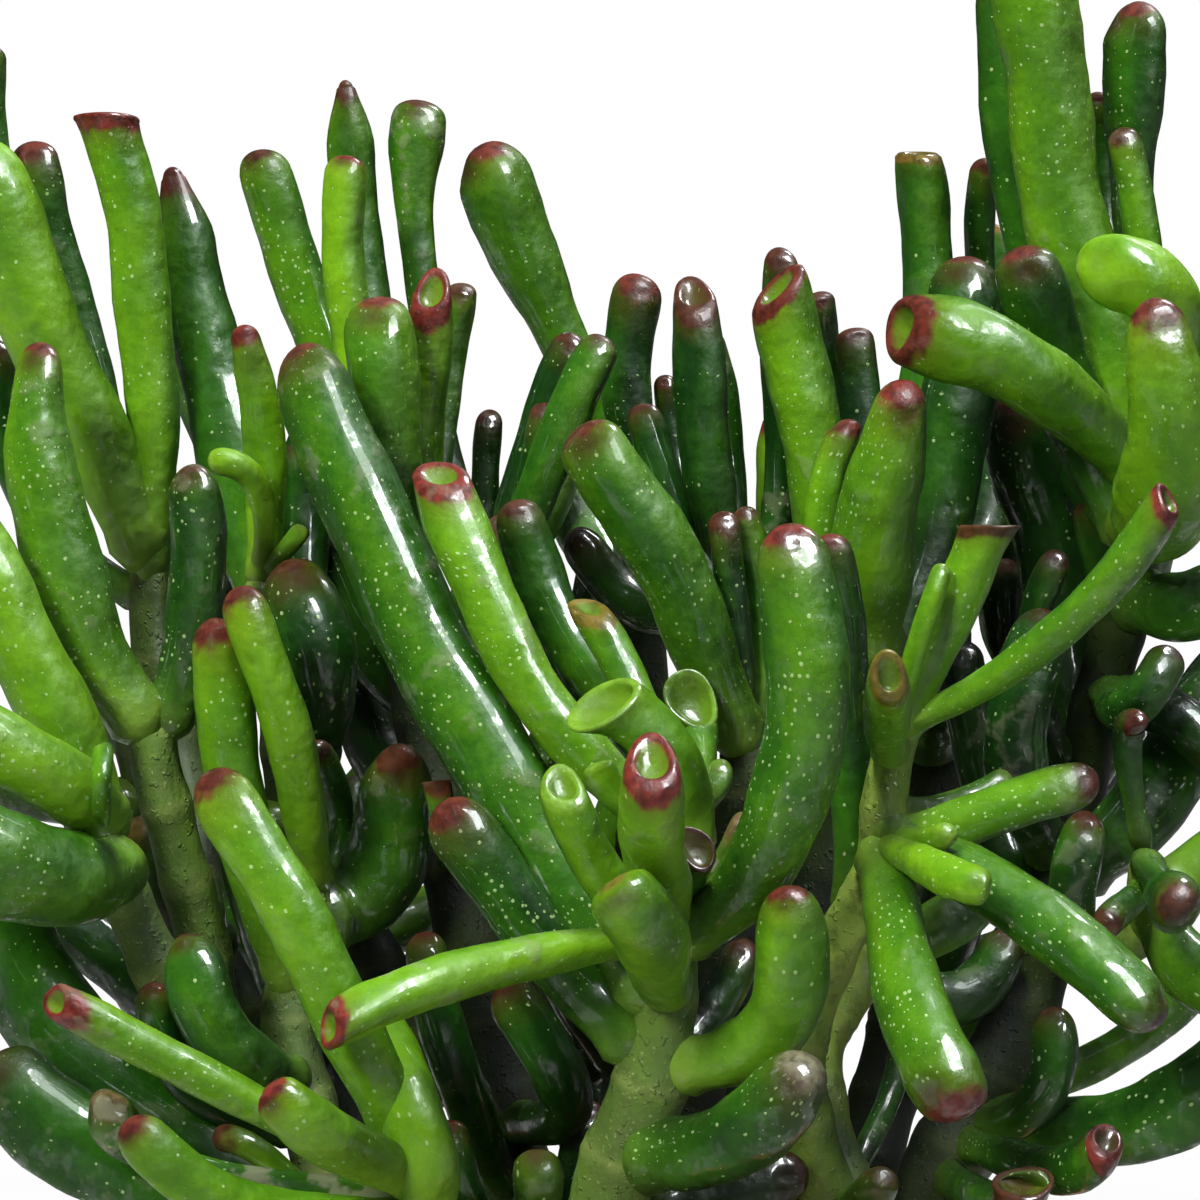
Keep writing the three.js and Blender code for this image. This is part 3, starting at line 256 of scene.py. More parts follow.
            ("finger", 50, (144, 580), (76, 330, 8), (31, 142, 8), "front", 0.3, "m"),
            ("finger", 50, (144, 560), (10, 250, 6), (-14, 42, 4), "front", 0.4, "b"),
            ("finger", 46, (144, 600), (30, 500, 12), (-8, 340, 12), "front", 0.15, "b"),
            ("finger", 64, (205, 985), (118, 966, 3), (28, 890, 5), "front", 0.05, "b"),
        ],
    },
    "stem_centre_left": {
        "foot": (-10, 5),
        "branches": [
            [(532, 1310, 8, 5), (512, 1160, 8, 4.6), (482, 1015, 8, 4.3), (455, 880, 8, 3.8),
            (425, 740, 8, 3.4), (408, 620, 8, 3), (403, 565, 8, 2.2)],
            [(506, 1120, 7, 3.7), (404, 1010, 7, 3.6), (338, 880, 7, 3.3), (292, 745, 1, 3),
            (267, 625, 0, 2.6), (261, 572, -1, 2)],
            [(455, 880, 8, 3.2), (478, 765, 14, 3), (492, 665, 16, 2.6), (498, 605, 16, 2)],
        ],
        "leaves": [
            ("finger", 74, (406, 600), (386, 440, 0), (380, 297, -2), "front", 0.58, "r"),
            ("cup", 50, (410, 625), (424, 432, 7), (432, 294, 2), "front", 0.8, "r"),
            ("finger", 34, (412, 650), (442, 425, 13), (463, 285, 13), "front", 0.6, "b"),
            ("finger", 46, (404, 590), (352, 350, 8), (349, 156, 5), "front", 0.8, "r"),
            ("point", 52, (406, 605), (368, 320, 18), (345, 80, 18), "front", 0.45, "b"),
            ("club", 58, (408, 625), (426, 330, 21), (420, 100, 21), "front", 0.5, "b"),
            ("finger", 60, (404, 590), (322, 345, 15), (256, 150, 13), "left", 0.55, "b+"),
            ("finger", 46, (495, 645), (545, 470, 10), (606, 337, 8), "front", 0.35, "b"),
            ("finger", 32, (494, 655), (520, 522, 15), (548, 403, 15), "front", 0.15, "b"),
            ("finger", 30, (490, 680), (484, 535, 22), (490, 411, 22), "front", 0.15, "b"),
            ("finger", 44, (497, 620), (526, 470, 19), (576, 335, 18), "front", 0.08, "b"),
            ("finger", 34, (484, 730), (490, 610, 4), (498, 515, 3), "front", 0.35, "b"),
            ("trumpet", 32, (452, 870), (446, 832, -5), (437, 783, -13), "front", 0.3, "b"),
            ("taper", 46, (262, 595), (264, 455, -4), (242, 325, -7), "front", 0.8, "r"),
            ("point", 70, (268, 630), (216, 392, 8), (171, 167, 8), "front", 0.3, "m"),
            ("finger", 28, (261, 578), (256, 484, -6), (208, 463, -10), "front", 0.85, "g"),
            ("finger", 20, (261, 580), (286, 549, -4), (305, 527, -6), "front", 0.6, "g"),
            ("finger", 86, (302, 775), (314, 680, -3), (286, 560, -5), "front", 0.1, "b"),
            ("finger", 58, (514, 1175), (566, 1098, -8), (500, 985, -12), "front", 0.05, "b"),
            ("finger", 50, (520, 1220), (458, 1080, -10), (424, 934, -10), "front", 0.05, "b"),
            ("finger", 50, (524, 1250), (535, 1204, -18), (536, 1154, -22), "front", 0.3, "b"),
            ("finger", 54, (300, 740), (303, 580, 12), (310, 440, 13), "front", 0.08, "b"),
            ("finger", 58, (425, 740), (368, 646, 16), (326, 530, 18), "front", 0.2, "b"),
            ("finger", 62, (452, 860), (392, 775, 15), (352, 664, 17), "front", 0.1, "b"),
            ("finger", 50, (524, 1280), (572, 1200, -2), (588, 1100, -2), "front", 0.03, "b"),
            ("finger", 46, (524, 1290), (474, 1210, -12), (446, 1120, -14), "front", 0.05, "b"),
        ],
    },
    "stem_centre": {
        "foot": (10, 17),
        "branches": [
            [(660, 1300, 20, 5), (682, 1135, 16, 4.6), (706, 1000, 12, 4.2), (736, 862, 6, 3.8),
            (748, 752, 3, 3.4), (738, 662, 8, 3), (718, 582, 14, 2.2)],
            [(703, 1020, 12, 3.5), (800, 920, 13, 3.4), (850, 800, 10, 3.2), (864, 700, 5, 2.8),
            (868, 648, 3, 2.1)],
        ],
        "leaves": [
            ("finger", 76, (752, 746), (664, 562, -6), (577, 428, -9), "front", 0.46, "m"),
            ("cup", 56, (722, 600), (706, 442, 12), (694, 297, 6), "front", 0.15, "b"),
            ("finger", 50, (738, 670), (637, 448, 18), (642, 276, 18), "front", 0.05, "m"),
            ("club", 90, (730, 640), (585, 386, 26), (484, 144, 23), "left", 0.5, "m"),
            ("finger", 34, (735, 655), (731, 470, 21), (708, 330, 21), "front", 0.08, "b"),
            ("finger", 26, (726, 620), (682, 482, 19), (665, 375, 19), "front", 0.02, "b"),
            ("finger", 40, (742, 690), (684, 532, 15), (640, 405, 15), "front", 0.1, "b"),
            ("finger", 34, (740, 680), (778, 500, 18), (772, 340, 18), "front", 0.1, "b"),
            ("finger", 32, (748, 750), (736, 622, -3), (722, 512, -5), "front", 0.02, "b"),
            ("finger", 32, (748, 760), (764, 632, 0), (742, 507, -1), "front", 0.4, "b"),
            ("finger", 46, (735, 650), (645, 610, 26), (574, 530, 28), "front", 0.1, "b"),
            ("taper", 94, (866, 680), (876, 532, -6), (906, 384, -14), "front", 0.66, "r"),
            ("finger", 40, (864, 700), (818, 560, 1), (850, 419, 1), "left", 0.66, "m+"),
            ("cup", 76, (860, 735), (816, 472, 12), (778, 292, 9), "left", 0.7, "m"),
            ("finger", 40, (858, 745), (794, 480, 21), (781, 250, 20), "front", 0.15, "b"),
            ("finger", 36, (862, 715), (832, 470, 22), (818, 293, 22), "front", 0.15, "b"),
            ("finger", 42, (866, 675), (863, 482, 20), (852, 328, 22), "front", 0.02, "b"),
            ("cup", 56, (868, 665), (922, 400, 21), (919, 157, 20), "back", 0.4, "o"),
            ("finger", 76, (868, 675), (946, 480, 12), (964, 256, 14), "front", 0.15, "m"),
        ],
    },
}

BACK_STEMS = {
    "stem_back_left": {
        "foot": (-29, 26),
        "branches": [
            [(-31, 30, 122, 4.6), (-37, 42, 148, 4.2), (-42, 50, 178, 3.6), (-44, 55, 205, 2.6)],
            [(-33, 34, 131, 3.6), (-50, 36, 150, 3.4), (-60, 36, 176, 2.6), (-63, 36, 192, 2)],
            [(-37, 42, 148, 3.4), (-34, 52, 160, 3.2), (-28, 60, 182, 2.4)],
        ],
    },
    "stem_back": {
        "foot": (3, 41),
        "branches": [
            [(4, 43, 122, 4.8), (6, 49, 150, 4.3), (6, 55, 185, 3.6), (4, 58, 216, 2.6)],
            [(5, 45, 132, 3.8), (-8, 56, 148, 3.4), (-11, 64, 168, 2.4)],
            [(6, 49, 150, 3.6), (20, 56, 166, 3.4), (26, 62, 188, 2.4)],
        ],
    },
    "stem_back_right": {
        "foot": (31, 27),
        "branches": [
            [(35, 33, 122, 4.8), (42, 45, 150, 4.3), (46, 54, 185, 3.8), (46, 58, 220, 2.8)],
            [(38, 38, 134, 3.8), (56, 44, 152, 3.4), (66, 46, 178, 2.6), (69, 46, 194, 2)],
            [(42, 45, 150, 3.4), (46, 56, 158, 3.2), (47, 64, 178, 2.4)],
        ],
    },
}

# Crossed pairs of leaves up a back stem's branch.
PAIR_SEED = 7
PAIR_SPACING = 19.5
BARE_SHARE = 0.12
PAIR_LENGTH = (29, 44)
PAIR_WIDTH = (7.2, 10)
PAIR_OPENING = (0.75, 1.15)
PAIR_CLOSING = 0.55
PAIR_TOP_OPENING = 0.5
PAIR_WANDER = 0.6
PAIR_TURNS = (0, 0.4, -0.4, 0.8, -0.8, 1.2, -1.2)
PAIR_SIZES = (1, 0.8)
PAIR_FORMS = {"finger": 0.4, "taper": 0.55, "cup": 0.72, "trumpet": 0.84, "club": 0.94, "point": 1}

# The crown's skyline on the sheet, as rows of across and down, and the clearings that can be seen
# through, as across, down and radius. A leaf in a pair stays below the one and off the others.
SKYLINE = [
    (-200, 60), (60, 180), (230, 380), (330, 330), (430, 330), (470, 450), (540, 400), (620, 320),
    (760, 470), (800, 330), (870, 370), (930, 200), (1400, 60),
]
CLEARINGS = [
    (119, 604, 14), (682, 683, 12), (864, 1070, 15), (912, 1113, 16), (1084, 1028, 22),
    (1150, 1040, 22), (1182, 826, 22), (1180, 1160, 30),
]

# Half-width along each form as a share of the leaf's, from root to tip, for keeping leaves apart. A
# row's place is a share of the leaf's length, or below 0 it is counted back from the tip in half-widths.
FORMS = {
    "finger": [(0, 0.6), (0.38, 0.95), (-1.1, 0.97), (-0.35, 0.74)],
    "taper": [(0, 0.6), (0.4, 1), (-1.4, 0.74), (-0.35, 0.52)],
    "point": [(0, 0.6), (0.4, 1), (-2, 0.78), (-0.7, 0.42)],
    "club": [(0, 0.46), (-4, 0.68), (-1.6, 1), (-0.45, 0.78)],
    "trumpet": [(0, 0.56), (0.5, 0.9), (-1.5, 0.9), (1, 1.04)],
    "cup": [(0, 0.56), (0.4, 0.92), (-0.9, 0.97), (1, 0.82)],
}
OPEN_FORMS = ("trumpet", "cup")
MOUTH_SLANT = {"front": 1.05, "back": 0.08, "left": 0.6, "right": 0.6, "up": 0.8, "down": 0.6}
BACK_SLANT = 0.3
THICKNESS = 0.88  # of a leaf's width

LEAF_BEADS = 14
FIRST_BEAD = 0.1
BRANCH_STEP = 3
ROOT_SHARE = 0.35
SPACING = 0.7
EASE_ROUNDS = 200
EASE_STEP = 0.8
EASE_MARGIN = 4
EASE_STIFFNESS = 0.1
EASE_MOST = 1.5


def place(row):
    """The point at a row of across, down, depth: on the sight line, at that depth behind the sheet."""
    across, down, depth = row[:3]
    size = UNIT * (1 + depth / STATION_DISTANCE)
    return CENTRE + (across - MIDDLE) * size * RIGHT + (MIDDLE - down) * size * UPWARD + depth * AWAY


def weights(t):
    """How far a parabola's point at share t follows its root, middle and tip."""
    return (1 - t) * (1 - 2 * t), 4 * t * (1 - t), t * (2 * t - 1)


def along(leaf, t):
    """The leaf's axis, the parabola through its root, middle and tip, at the shares t."""
    a, b, c = weights(np.asarray(t, float)[..., None])
    return a * leaf["root"] + b * leaf["middle"] + c * leaf["tip"]


def rows_of(leaf, forms):
    """A form's rows with every place as a share of this leaf's length, from root to middle to tip."""
    length = np.linalg.norm(leaf["middle"] - leaf["root"]) + np.linalg.norm(leaf["tip"] - leaf["middle"])
    rows = np.array(forms[leaf["form"]], float)
    rows[:, 0] = np.where(rows[:, 0] < 0, 1 + rows[:, 0] * leaf["half"] / length, rows[:, 0])
    return rows


def bead_widths(leaf, shares):
    """Straight lines between the form's rows, and past the last row a quarter of an ellipse."""
    rows = rows_of(leaf, FORMS)
    end, last = rows[-1]
    past = np.clip((shares - end) / max(1 - end, 1e-9), 0, 1)
    dome = last * np.sqrt(np.maximum(0, 1 - past**2))
    return np.where(shares > end, dome, np.interp(shares, rows[:, 0], rows[:, 1]))


def leaf_beads(leaf):
    """A leaf as a row of beads at even shares of its axis, and how far each follows middle and tip."""
    t = FIRST_BEAD + (1 - FIRST_BEAD) * (np.arange(LEAF_BEADS) / (LEAF_BEADS - 1))
    _, middle, tip = weights(t)
    radius = leaf["half"] * bead_widths(leaf, t)
    return {"at": along(leaf, t), "radius": radius, "middle": middle, "tip": tip, "t": t}


def branch_beads(points, radii):
    """A branch as beads at even steps on its straight stretches, which follow nothing."""
    at, radius = [], []
    for low, high, r0, r1 in zip(points, points[1:], radii, radii[1:]):
        count = math.ceil(np.linalg.norm(high - low) / BRANCH_STEP)
        share = (np.arange(count) + 1)[:, None] / count
        at.append(low + (high - low) * share)
        radius.append(r0 + (r1 - r0) * share[:, 0])
    at, radius = np.concatenate(at), np.concatenate(radius)
    none = np.zeros(len(at))
    return {"at": at, "radius": radius, "middle": none, "tip": none, "t": none + 1}


def stems_of(table, point_of):
    """Each stem's branches as points and radii, the first with its upright stretch in the socket."""
    stems = {}
    for name, rows in table.items():
        branches = []
        for branch in rows["branches"]:
            points = [point_of(row) for row in branch]
            radii = [float(row[3]) for row in branch]
            branches.append((points, radii))
        points, radii = branches[0]
        foot = [np.array([*rows["foot"], height], float) for height in SOCKET_HEIGHTS]
        branches[0] = (foot + points, [radii[0]] * len(foot) + radii)
        stems[name] = [(np.array(points), np.array(radii)) for points, radii in branches]
    return stems


def nearest_on(branches, point):
    """The nearest point to a point on any straight stretch of the branches, and the radius there."""
    best, found, wide = math.inf, None, 0.0
    for points, radii in branches:
        for low, high, r0, r1 in zip(points, points[1:], radii, radii[1:]):
            span = high - low
            share = min(max(float((point - low) @ span / (span @ span)), 0.0), 1.0)
            at = low + share * span
            distance = float(np.linalg.norm(at - point))
            if distance < best:
                best, found, wide = distance, at, r0 + share * (r1 - r0)
    return found, wide


def set_out_leaves(name, branches):
    """The leaves of a stem from its rows, each with its root on the nearest point of the branches."""
    leaves = []
    for form, width, root, middle, tip, facing, tone, cap in STEMS[name]["leaves"]:
        right, up, away = FACING[facing]
        start, stem = nearest_on(branches, place((*root, middle[2])))
        leaves.append(
            {
                "owner": name,
                "form": form,
                "half": width / 2 * UNIT * (1 + middle[2] / STATION_DISTANCE),
                "root": start,
                "stem": stem,
                "middle": place(middle),
                "tip": place(tip),
                "face": right * RIGHT + up * UPWARD + away * AWAY,
                "slant": MOUTH_SLANT[facing] if form in OPEN_FORMS else 0,
                "tone": tone,
                "cap": cap,
            }
        )
    return leaves


def sight_line(point):
    """The way from the station to a point, as long as it takes for a depth of 1."""
    line = point - STATION
    return line / (line @ AWAY)


def ease_apart(leaves, stems):
    """Slides leaves that press on each other apart along the depth.

    Leaves and branches are rows of beads. Where two beads come nearer than their radii and the
    spacing, both leaves give way: their middles and tips slide on their sight lines by the mean of
    what their beads need, weighted by that need. Branches and roots stay.
    """
    bodies = [(leaf["owner"], True, leaf_beads(leaf)) for leaf in leaves]
    for name, branches in stems.items():
        bodies += [(name, False, branch_beads(*branch)) for branch in branches]
    owners = {name: i for i, name in enumerate(stems)}
    counts = [len(beads["radius"]) for _, _, beads in bodies]
    body = np.repeat(np.arange(len(bodies)), counts)
    owner = np.array([owners[name] for name, _, _ in bodies])[body]
    is_leaf = np.array([leaf for _, leaf, _ in bodies])[body]
    at, radius, middle, tip, t = (
        np.concatenate([beads[key] for _, _, beads in bodies])
        for key in ("at", "radius", "middle", "tip", "t")
    )
    flat = np.stack([at @ RIGHT, at @ UPWARD], 1)
    pairs = []
    for first in range(len(leaves)):
        mine = np.nonzero(body == first)[0]
        later = np.nonzero(body > first)[0]
        apart = np.linalg.norm(flat[mine][:, None] - flat[later][None], axis=2)
        near = apart < radius[mine][:, None] + radius[later][None] + SPACING + EASE_MARGIN
        rooted = (t[mine][:, None] < ROOT_SHARE) | (t[later][None] < ROOT_SHARE)
        near &= ~((owner[mine][:, None] == owner[later][None]) & rooted)
        p, q = np.nonzero(near)
        pairs.append(np.stack([mine[p], later[q]], 1))
    p, q = np.concatenate(pairs).T
    reach = radius[p] + radius[q] + SPACING
    _, couple = np.unique(body[p] * len(bodies) + body[q], return_inverse=True)
    share = np.where(is_leaf[q], 0.5, 1.0)
    stiff = middle**2 + tip**2 + EASE_STIFFNESS
    held = len(leaves)
    for _ in range(EASE_ROUNDS):
        offset = at[q] - at[p]
        distance = np.sqrt((offset**2).sum(1))
        near = distance < reach
        depth = offset @ AWAY
        order = np.bincount(couple, np.where(near, depth * (reach - distance), 0.0))
        side = np.where(order >= 0, 1.0, -1.0)[couple]
        needed = np.sqrt(np.maximum(reach**2 - (distance**2 - depth**2), 0))
        by = np.where(near, side * share * (needed - side * depth), 0.0)
        bead = np.concatenate([p, q])
        push = np.concatenate([-by, by])
        ease = np.abs(push) * push / stiff[bead]
        total = np.bincount(body[bead], np.abs(push), len(bodies))[:held]
        give = np.maximum(total, 1e-12)
        slide = {}
        for key, follows in (("middle", middle), ("tip", tip)):
            wanted = np.bincount(body[bead], ease * follows[bead], len(bodies))[:held]
            slide[key] = np.clip(EASE_STEP * wanted / give, -EASE_MOST, EASE_MOST)
        for i in np.nonzero(total > 0)[0]:
            for key in ("middle", "tip"):
                leaves[i][key] = leaves[i][key] + sight_line(leaves[i][key]) * slide[key][i]
            at[body == i] = along(leaves[i], t[body == i])
    rows = split(at, radius, t, counts)
    return [(name, row, leaf) for (name, leaf, _), row in zip(bodies, rows)]


def split(at, radius, t, counts):
    """The beads' places, radii and shares, body by body."""
    ends = np.cumsum(counts)[:-1]
    return list(zip(np.split(at, ends), np.split(radius, ends), np.split(t, ends)))


def draw_from(seed):
    """A seeded draw between 0 and 1, by a linear congruential generator."""
    state = seed
    while True:
        state = (state * 1664525 + 1013904223) % 2**32
        yield state / 2**32


def is_in_crown(at, radius):
    """Whether every bead, seen from the station, tops out below the skyline and keeps off the clearings."""
    offset = at - CENTRE
    size = UNIT * (1 + offset @ AWAY / STATION_DISTANCE)
    across = MIDDLE + offset @ RIGHT / size
    down = MIDDLE - offset @ UPWARD / size
    reach = radius / size
    x, y, clearing = np.array(CLEARINGS, float).T
    if np.any(np.hypot(across[:, None] - x, down[:, None] - y) < clearing + reach[:, None]):
        return False
    line = np.array(SKYLINE, float)
    below = down - reach > np.interp(across, line[:, 0], line[:, 1])
    return np.all(below | (across <= line[0, 0]) | (across > line[-1, 0]))


def is_clear(owner, beads, bodies):
    """Whether a leaf's beads are above the rim, in the crown and clear of every body by the spacing. Near
    its root a leaf may touch its own stem and the leaves beside it."""
    at, radius, t = beads
    if np.any(at[:, 2] <= RIM_HEIGHT + radius + SPACING) or not is_in_crown(at, radius):
        return False
    for name, (other, wide, share), _ in bodies:
        gap = np.linalg.norm(at[:, None] - other[None], axis=2) - radius[:, None] - wide[None] - SPACING
        if name == owner:
            grown = (t[:, None] < ROOT_SHARE) | (share[None] < ROOT_SHARE)
            gap = np.where(grown, 1.0, gap)
        if np.any(gap < 0):
            return False
    return True


def point_at(branch, share):
    """The point at a share of a branch's length, the way it runs there, its radius and its length."""
    points, radii = branch
    spans = np.linalg.norm(np.diff(points, axis=0), axis=1)
    left = share * float(spans.sum())
    i = 0
    while i < len(spans) - 1 and left > spans[i]:
        left -= spans[i]
        i += 1
    axis = (points[i + 1] - points[i]) / spans[i]
    return points[i] + axis * left, axis, radii[i], float(spans.sum())


def add_pairs(owner, branch, bodies, draw):
    """Crossed pairs of leaves up a branch. A leaf that would touch another is turned about the branch
    or shortened until it is clear, and is left out where no turn is."""

    def within(low_high):
        low, high = low_high
        return low + (high - low) * next(draw)

    leaves = []
    leafy = 1 - BARE_SHARE
    count = math.floor(point_at(branch, 0)[-1] * leafy / PAIR_SPACING)
    for i in range(count + 1):
        root, axis, stem, _ = point_at(branch, BARE_SHARE + leafy * i / count)
        side = np.cross([0.0, 1.0, 0.0], axis)
        side /= np.linalg.norm(side)
        other = np.cross(axis, side)
        ahead = PAIR_TOP_OPENING if i == count else 1
        first = i * math.pi / 2 + PAIR_WANDER * next(draw)
        for half in (0, math.pi):
            length = within(PAIR_LENGTH)
            width = within(PAIR_WIDTH)
            opening = within(PAIR_OPENING) * ahead
            pick = next(draw)
            form = next(form for form, up_to in PAIR_FORMS.items() if pick < up_to)
            for size, turn in [(size, turn) for size in PAIR_SIZES for turn in PAIR_TURNS]:
                around = first + half + turn
                out = side * math.cos(around) + other * math.sin(around)
                steps = [
                    (axis * math.cos(angle) + out * math.sin(angle)) * size * length / 2
                    for angle in (opening, opening * PAIR_CLOSING)
                ]
                middle = root + steps[0]
                leaf = {
                    "owner": owner,
                    "form": form,
                    "half": width / 2,
                    "root": root,
                    "stem": stem,
                    "middle": middle,
                    "tip": middle + steps[1],
                    "face": out,
                    "slant": BACK_SLANT if form in OPEN_FORMS else 0,
                }
                beads = leaf_beads(leaf)
                beads = (beads["at"], beads["radius"], beads["t"])
                if is_clear(owner, beads, bodies):
                    bodies.append((owner, beads, True))
                    leaves.append(leaf)
                    break
    return leaves


def lay_out():
    """The plant's stems and leaves, in millimetres, placed as in the part's source."""
    front = stems_of(STEMS, place)
    back = stems_of(BACK_STEMS, lambda row: np.array(row[:3], float))
    stems = {**front, **back}
    leaves = [leaf for name in front for leaf in set_out_leaves(name, front[name])]
    bodies = ease_apart(leaves, stems)
    draw = draw_from(PAIR_SEED)
    for name, branches in back.items():
        for branch in branches:
            leaves += add_pairs(name, branch, bodies, draw)
    return stems, leaves

# ------------------------------------------------------------------ surfaces

# Half-width along each form's skin, as FORMS gives it. The skin of an open form goes on over its rim and
# into its mouth: radius and height past the rim, both as shares of the half-width, down to its depth.
SKINS = {
    "finger": [(0, 0.6), (0.12, 0.74), (0.38, 0.95), (-2.2, 1), (-1.3, 0.98), (-0.9, 0.93)],
    "taper": [(0, 0.6), (0.15, 0.78), (0.4, 1), (-2.4, 0.87), (-1.4, 0.74), (-0.65, 0.63)],
    "point": [(0, 0.6), (0.15, 0.8), (0.35, 1), (-2.3, 0.92), (-1.6, 0.74), (-0.9, 0.5), (-0.4, 0.32)],
    "club": [(0, 0.46), (-4, 0.68), (-2.6, 0.92), (-1.6, 1), (-0.9, 0.93)],
    "trumpet": [(0, 0.56), (0.15, 0.7), (0.4, 0.87), (-1.8, 0.9), (-0.8, 0.91), (1, 1.0)],
    "cup": [(0, 0.56), (0.15, 0.7), (0.4, 0.92), (-1.6, 0.97), (-0.8, 0.95), (-0.35, 0.9), (1, 0.81)],
}
MOUTHS = {
    "trumpet": [
        (1.04, 0.05), (1.05, 0.11), (1.02, 0.17), (0.95, 0.19), (0.87, 0.16), (0.8, 0.08), (0.75, -0.03),
        (0.66, -0.17), (0.48, -0.29), (0.24, -0.35),
    ],
    "cup": [
        (0.78, 0.05), (0.75, 0.1), (0.69, 0.14), (0.61, 0.15), (0.53, 0.12), (0.47, 0.05), (0.43, -0.04),
        (0.37, -0.13), (0.27, -0.2), (0.14, -0.24),
    ],
}
MOUTH_DEPTHS = {"trumpet": 0.36, "cup": 0.25}
DOME_RINGS = 9
LEAF_RINGS = 30
# A cap's colour, how far down the leaf it reaches in mm, and how strongly it stains: red, maroon, brown,
# ochre, green, corky and scabby. A mark with a + has more dots.
CAPS = {
    "r": ((0.16, 0.024, 0.016), 3.9, 1.0),
    "m": ((0.12, 0.024, 0.014), 4.1, 1.0),
    "b": ((0.07, 0.02, 0.01), 3.2, 0.95),
    "o": ((0.2, 0.1, 0.022), 3.2, 0.7),
    "g": ((0.25, 0.4, 0.06), 2.0, 0.3),
    "c": ((0.22, 0.2, 0.13), 5.0, 0.8),
    "s": ((0.2, 0.12, 0.06), 4.0, 0.75),
}
OPEN_REACH = 0.6  # of the cap's reach, where there is a mouth
# The share of cells that hold a dot: the least, what a draw adds to it, and where the mark has a +. Then
# the most scab that a draw gives, and how far the tone wanders by one.
FEW_DOTS = 0.12
MORE_DOTS = 0.25
MANY_DOTS = 0.5
SOME_SCAB = 0.45
TONE_WANDER = 0.1
FOOT_FADE = 3.5  # mm over which the pale foot of a leaf fades out
COLLAR = 0.3  # how far a leaf's foot swells where it leaves the stem, as a share of its width
COLLAR_LENGTH = 1.5
SKIN_INSET = 0.03  # the skins' waves lie about a width that is smaller by this share
# The dimple in a closed tip: its depth, its place before the tip and its length in half-widths, and how
# far round it goes and may be turned, in radians.
DENT = 0.2
DENT_PLACE = 0.42
DENT_LENGTH = 0.3
DENT_WIDTH = 0.75
DENT_TURN = 0.8
TIP_SLANT = 0.7  # how far the end of a closed tip leans, and the draw at which it doesn't
TIP_UPRIGHT = 0.3
SLANT_START = 0.55  # the share of a leaf where its rings start to lean
# How far the rim of an upright open leaf is brought level from side to side, between which steepnesses
# of its axis that sets in, and the most that a ring may lean for it.
LEVEL = 1.0
LEVEL_FROM = (0.35, 0.7)
LEVEL_MOST = 0.9
BOW = 0.07  # how far a leaf's axis wanders sideways, in half-widths, and its radians in a mm
BOW_RATE = 0.21

# Waves over a skin, which keep it from being a turned shape. A row: height as a share of the radius, how
# many go round, radians over the whole length, radians in a mm, and which of the skin's phases it takes.
LEAF_WAVES = [(0.035, 2, 5, 0, 0), (0.025, 3, -7, 0, 1), (0.028, 0, 0, 0.45, 2), (0.012, 2, 0, 1.1, 3)]
TIP_WAVES = [(0.05, 2, 0, 0, 3), (0.035, 3, 0, 0, 0)]
LEAF_STREAKS = [(0.5, 2, 3, 0, 2), (0.3, 3, -4, 0, 3), (0.2, 5, 6, 0, 0)]
STEM_WAVES = [(0.035, 2, 0, 0.11, 0), (0.025, 3, 0, -0.23, 1), (0.018, 5, 0, 0.4, 2)]

# How much older than its thickness tells a stem's bark looks, partly standing for painted shade on
# the stems that lie in shade, and the radii between which it ages.
STEM_AGES_AND_SHADE = {"stem_front": 0.12, "stem_front_right": 0.12, "stem_right": 0.3, "stem_left": 0.4}
STEM_AGE_AND_SHADE = 0.35
AGEING_RADII = (2.3, 4.2)
# The age of a thick stem grows from this share to all of it with the crown's painted shade.
BARE_AGE = 0.55  # of a thick stem's age, where it isn't in the crown's shade
STEM_RING_STEP = 0.9
# Leaf scars up a stem, in mm: their spacing, the swelling at each with the fine groove along its middle,
# as height and width, and the width of the pale mark.
SCAR_SPACING = 9.5
SCAR_SWELLING = (0.1, 1.6)
SCAR_GROOVE = (0.06, 0.35)
SCAR_MARK = 0.6

# The crown's painted shade, in mm: the heights above the middle between which it sets in, the depths
# between which it grows for leaves and for stems, and those between which it fades towards the crown's
# back.
SHADE_TOP = (22, -8)
SHADE_LEAVES = (2, 26)
SHADE_STEMS = (-8, 12)
SHADE_BACK = (72, 44)


def curve_through(rows, shares):
    """A smooth curve through rows of share and value, that never passes a row's value between rows:
    a cubic in each stretch, whose slope at a row is the harmonic mean of the slopes on its two sides."""
    x, y = rows.T
    step = np.diff(x)
    slope = np.diff(y) / step
    inner = np.where(
        slope[1:] * slope[:-1] > 0,
        2 * slope[1:] * slope[:-1] / np.where(slope[1:] + slope[:-1] == 0, 1, slope[1:] + slope[:-1]),
        0,
    )
    ends = np.concatenate([[slope[0]], inner, [slope[-1]]])
    k = np.clip(np.searchsorted(x, shares, side="right") - 1, 0, len(step) - 1)
    u = (shares - x[k]) / step[k]
    bend0, bend1 = ends[k] * step[k], ends[k + 1] * step[k]
    return (
        y[k] * (1 - 3 * u**2 + 2 * u**3)
        + y[k + 1] * (3 * u**2 - 2 * u**3)
        + bend0 * (u - 2 * u**2 + u**3)
        + bend1 * (u**3 - u**2)
    )


def smooth_step(low, high, x):
    """From 0 to 1 as x goes from low to high: three squares less two cubes of the share of the way."""
    u = np.clip((x - low) / (high - low), 0, 1)
    return u * u * (3 - 2 * u)


def bell(x, width):
    """A bell curve of height 1 about 0: e to the power of minus the square of x over the width."""
    return np.exp(-((x / width) ** 2))


def waves(rows, turn, share, run, phase):
    """The sum of a table's sines over a skin, at the angles round it, and at each ring's share of the
    length and distance along it."""
    share, run = share[:, None], run[:, None]
    return sum(
        height * np.sin(around * turn + phase[which] + whole * share + each * run)
        for height, around, whole, each, which in rows
    )


def leaf_length(leaf):
    """The length of the leaf's axis, in mm."""
    points = along(leaf, np.linspace(0, 1, 24))
    return float(np.linalg.norm(np.diff(points, axis=0), axis=1).sum())


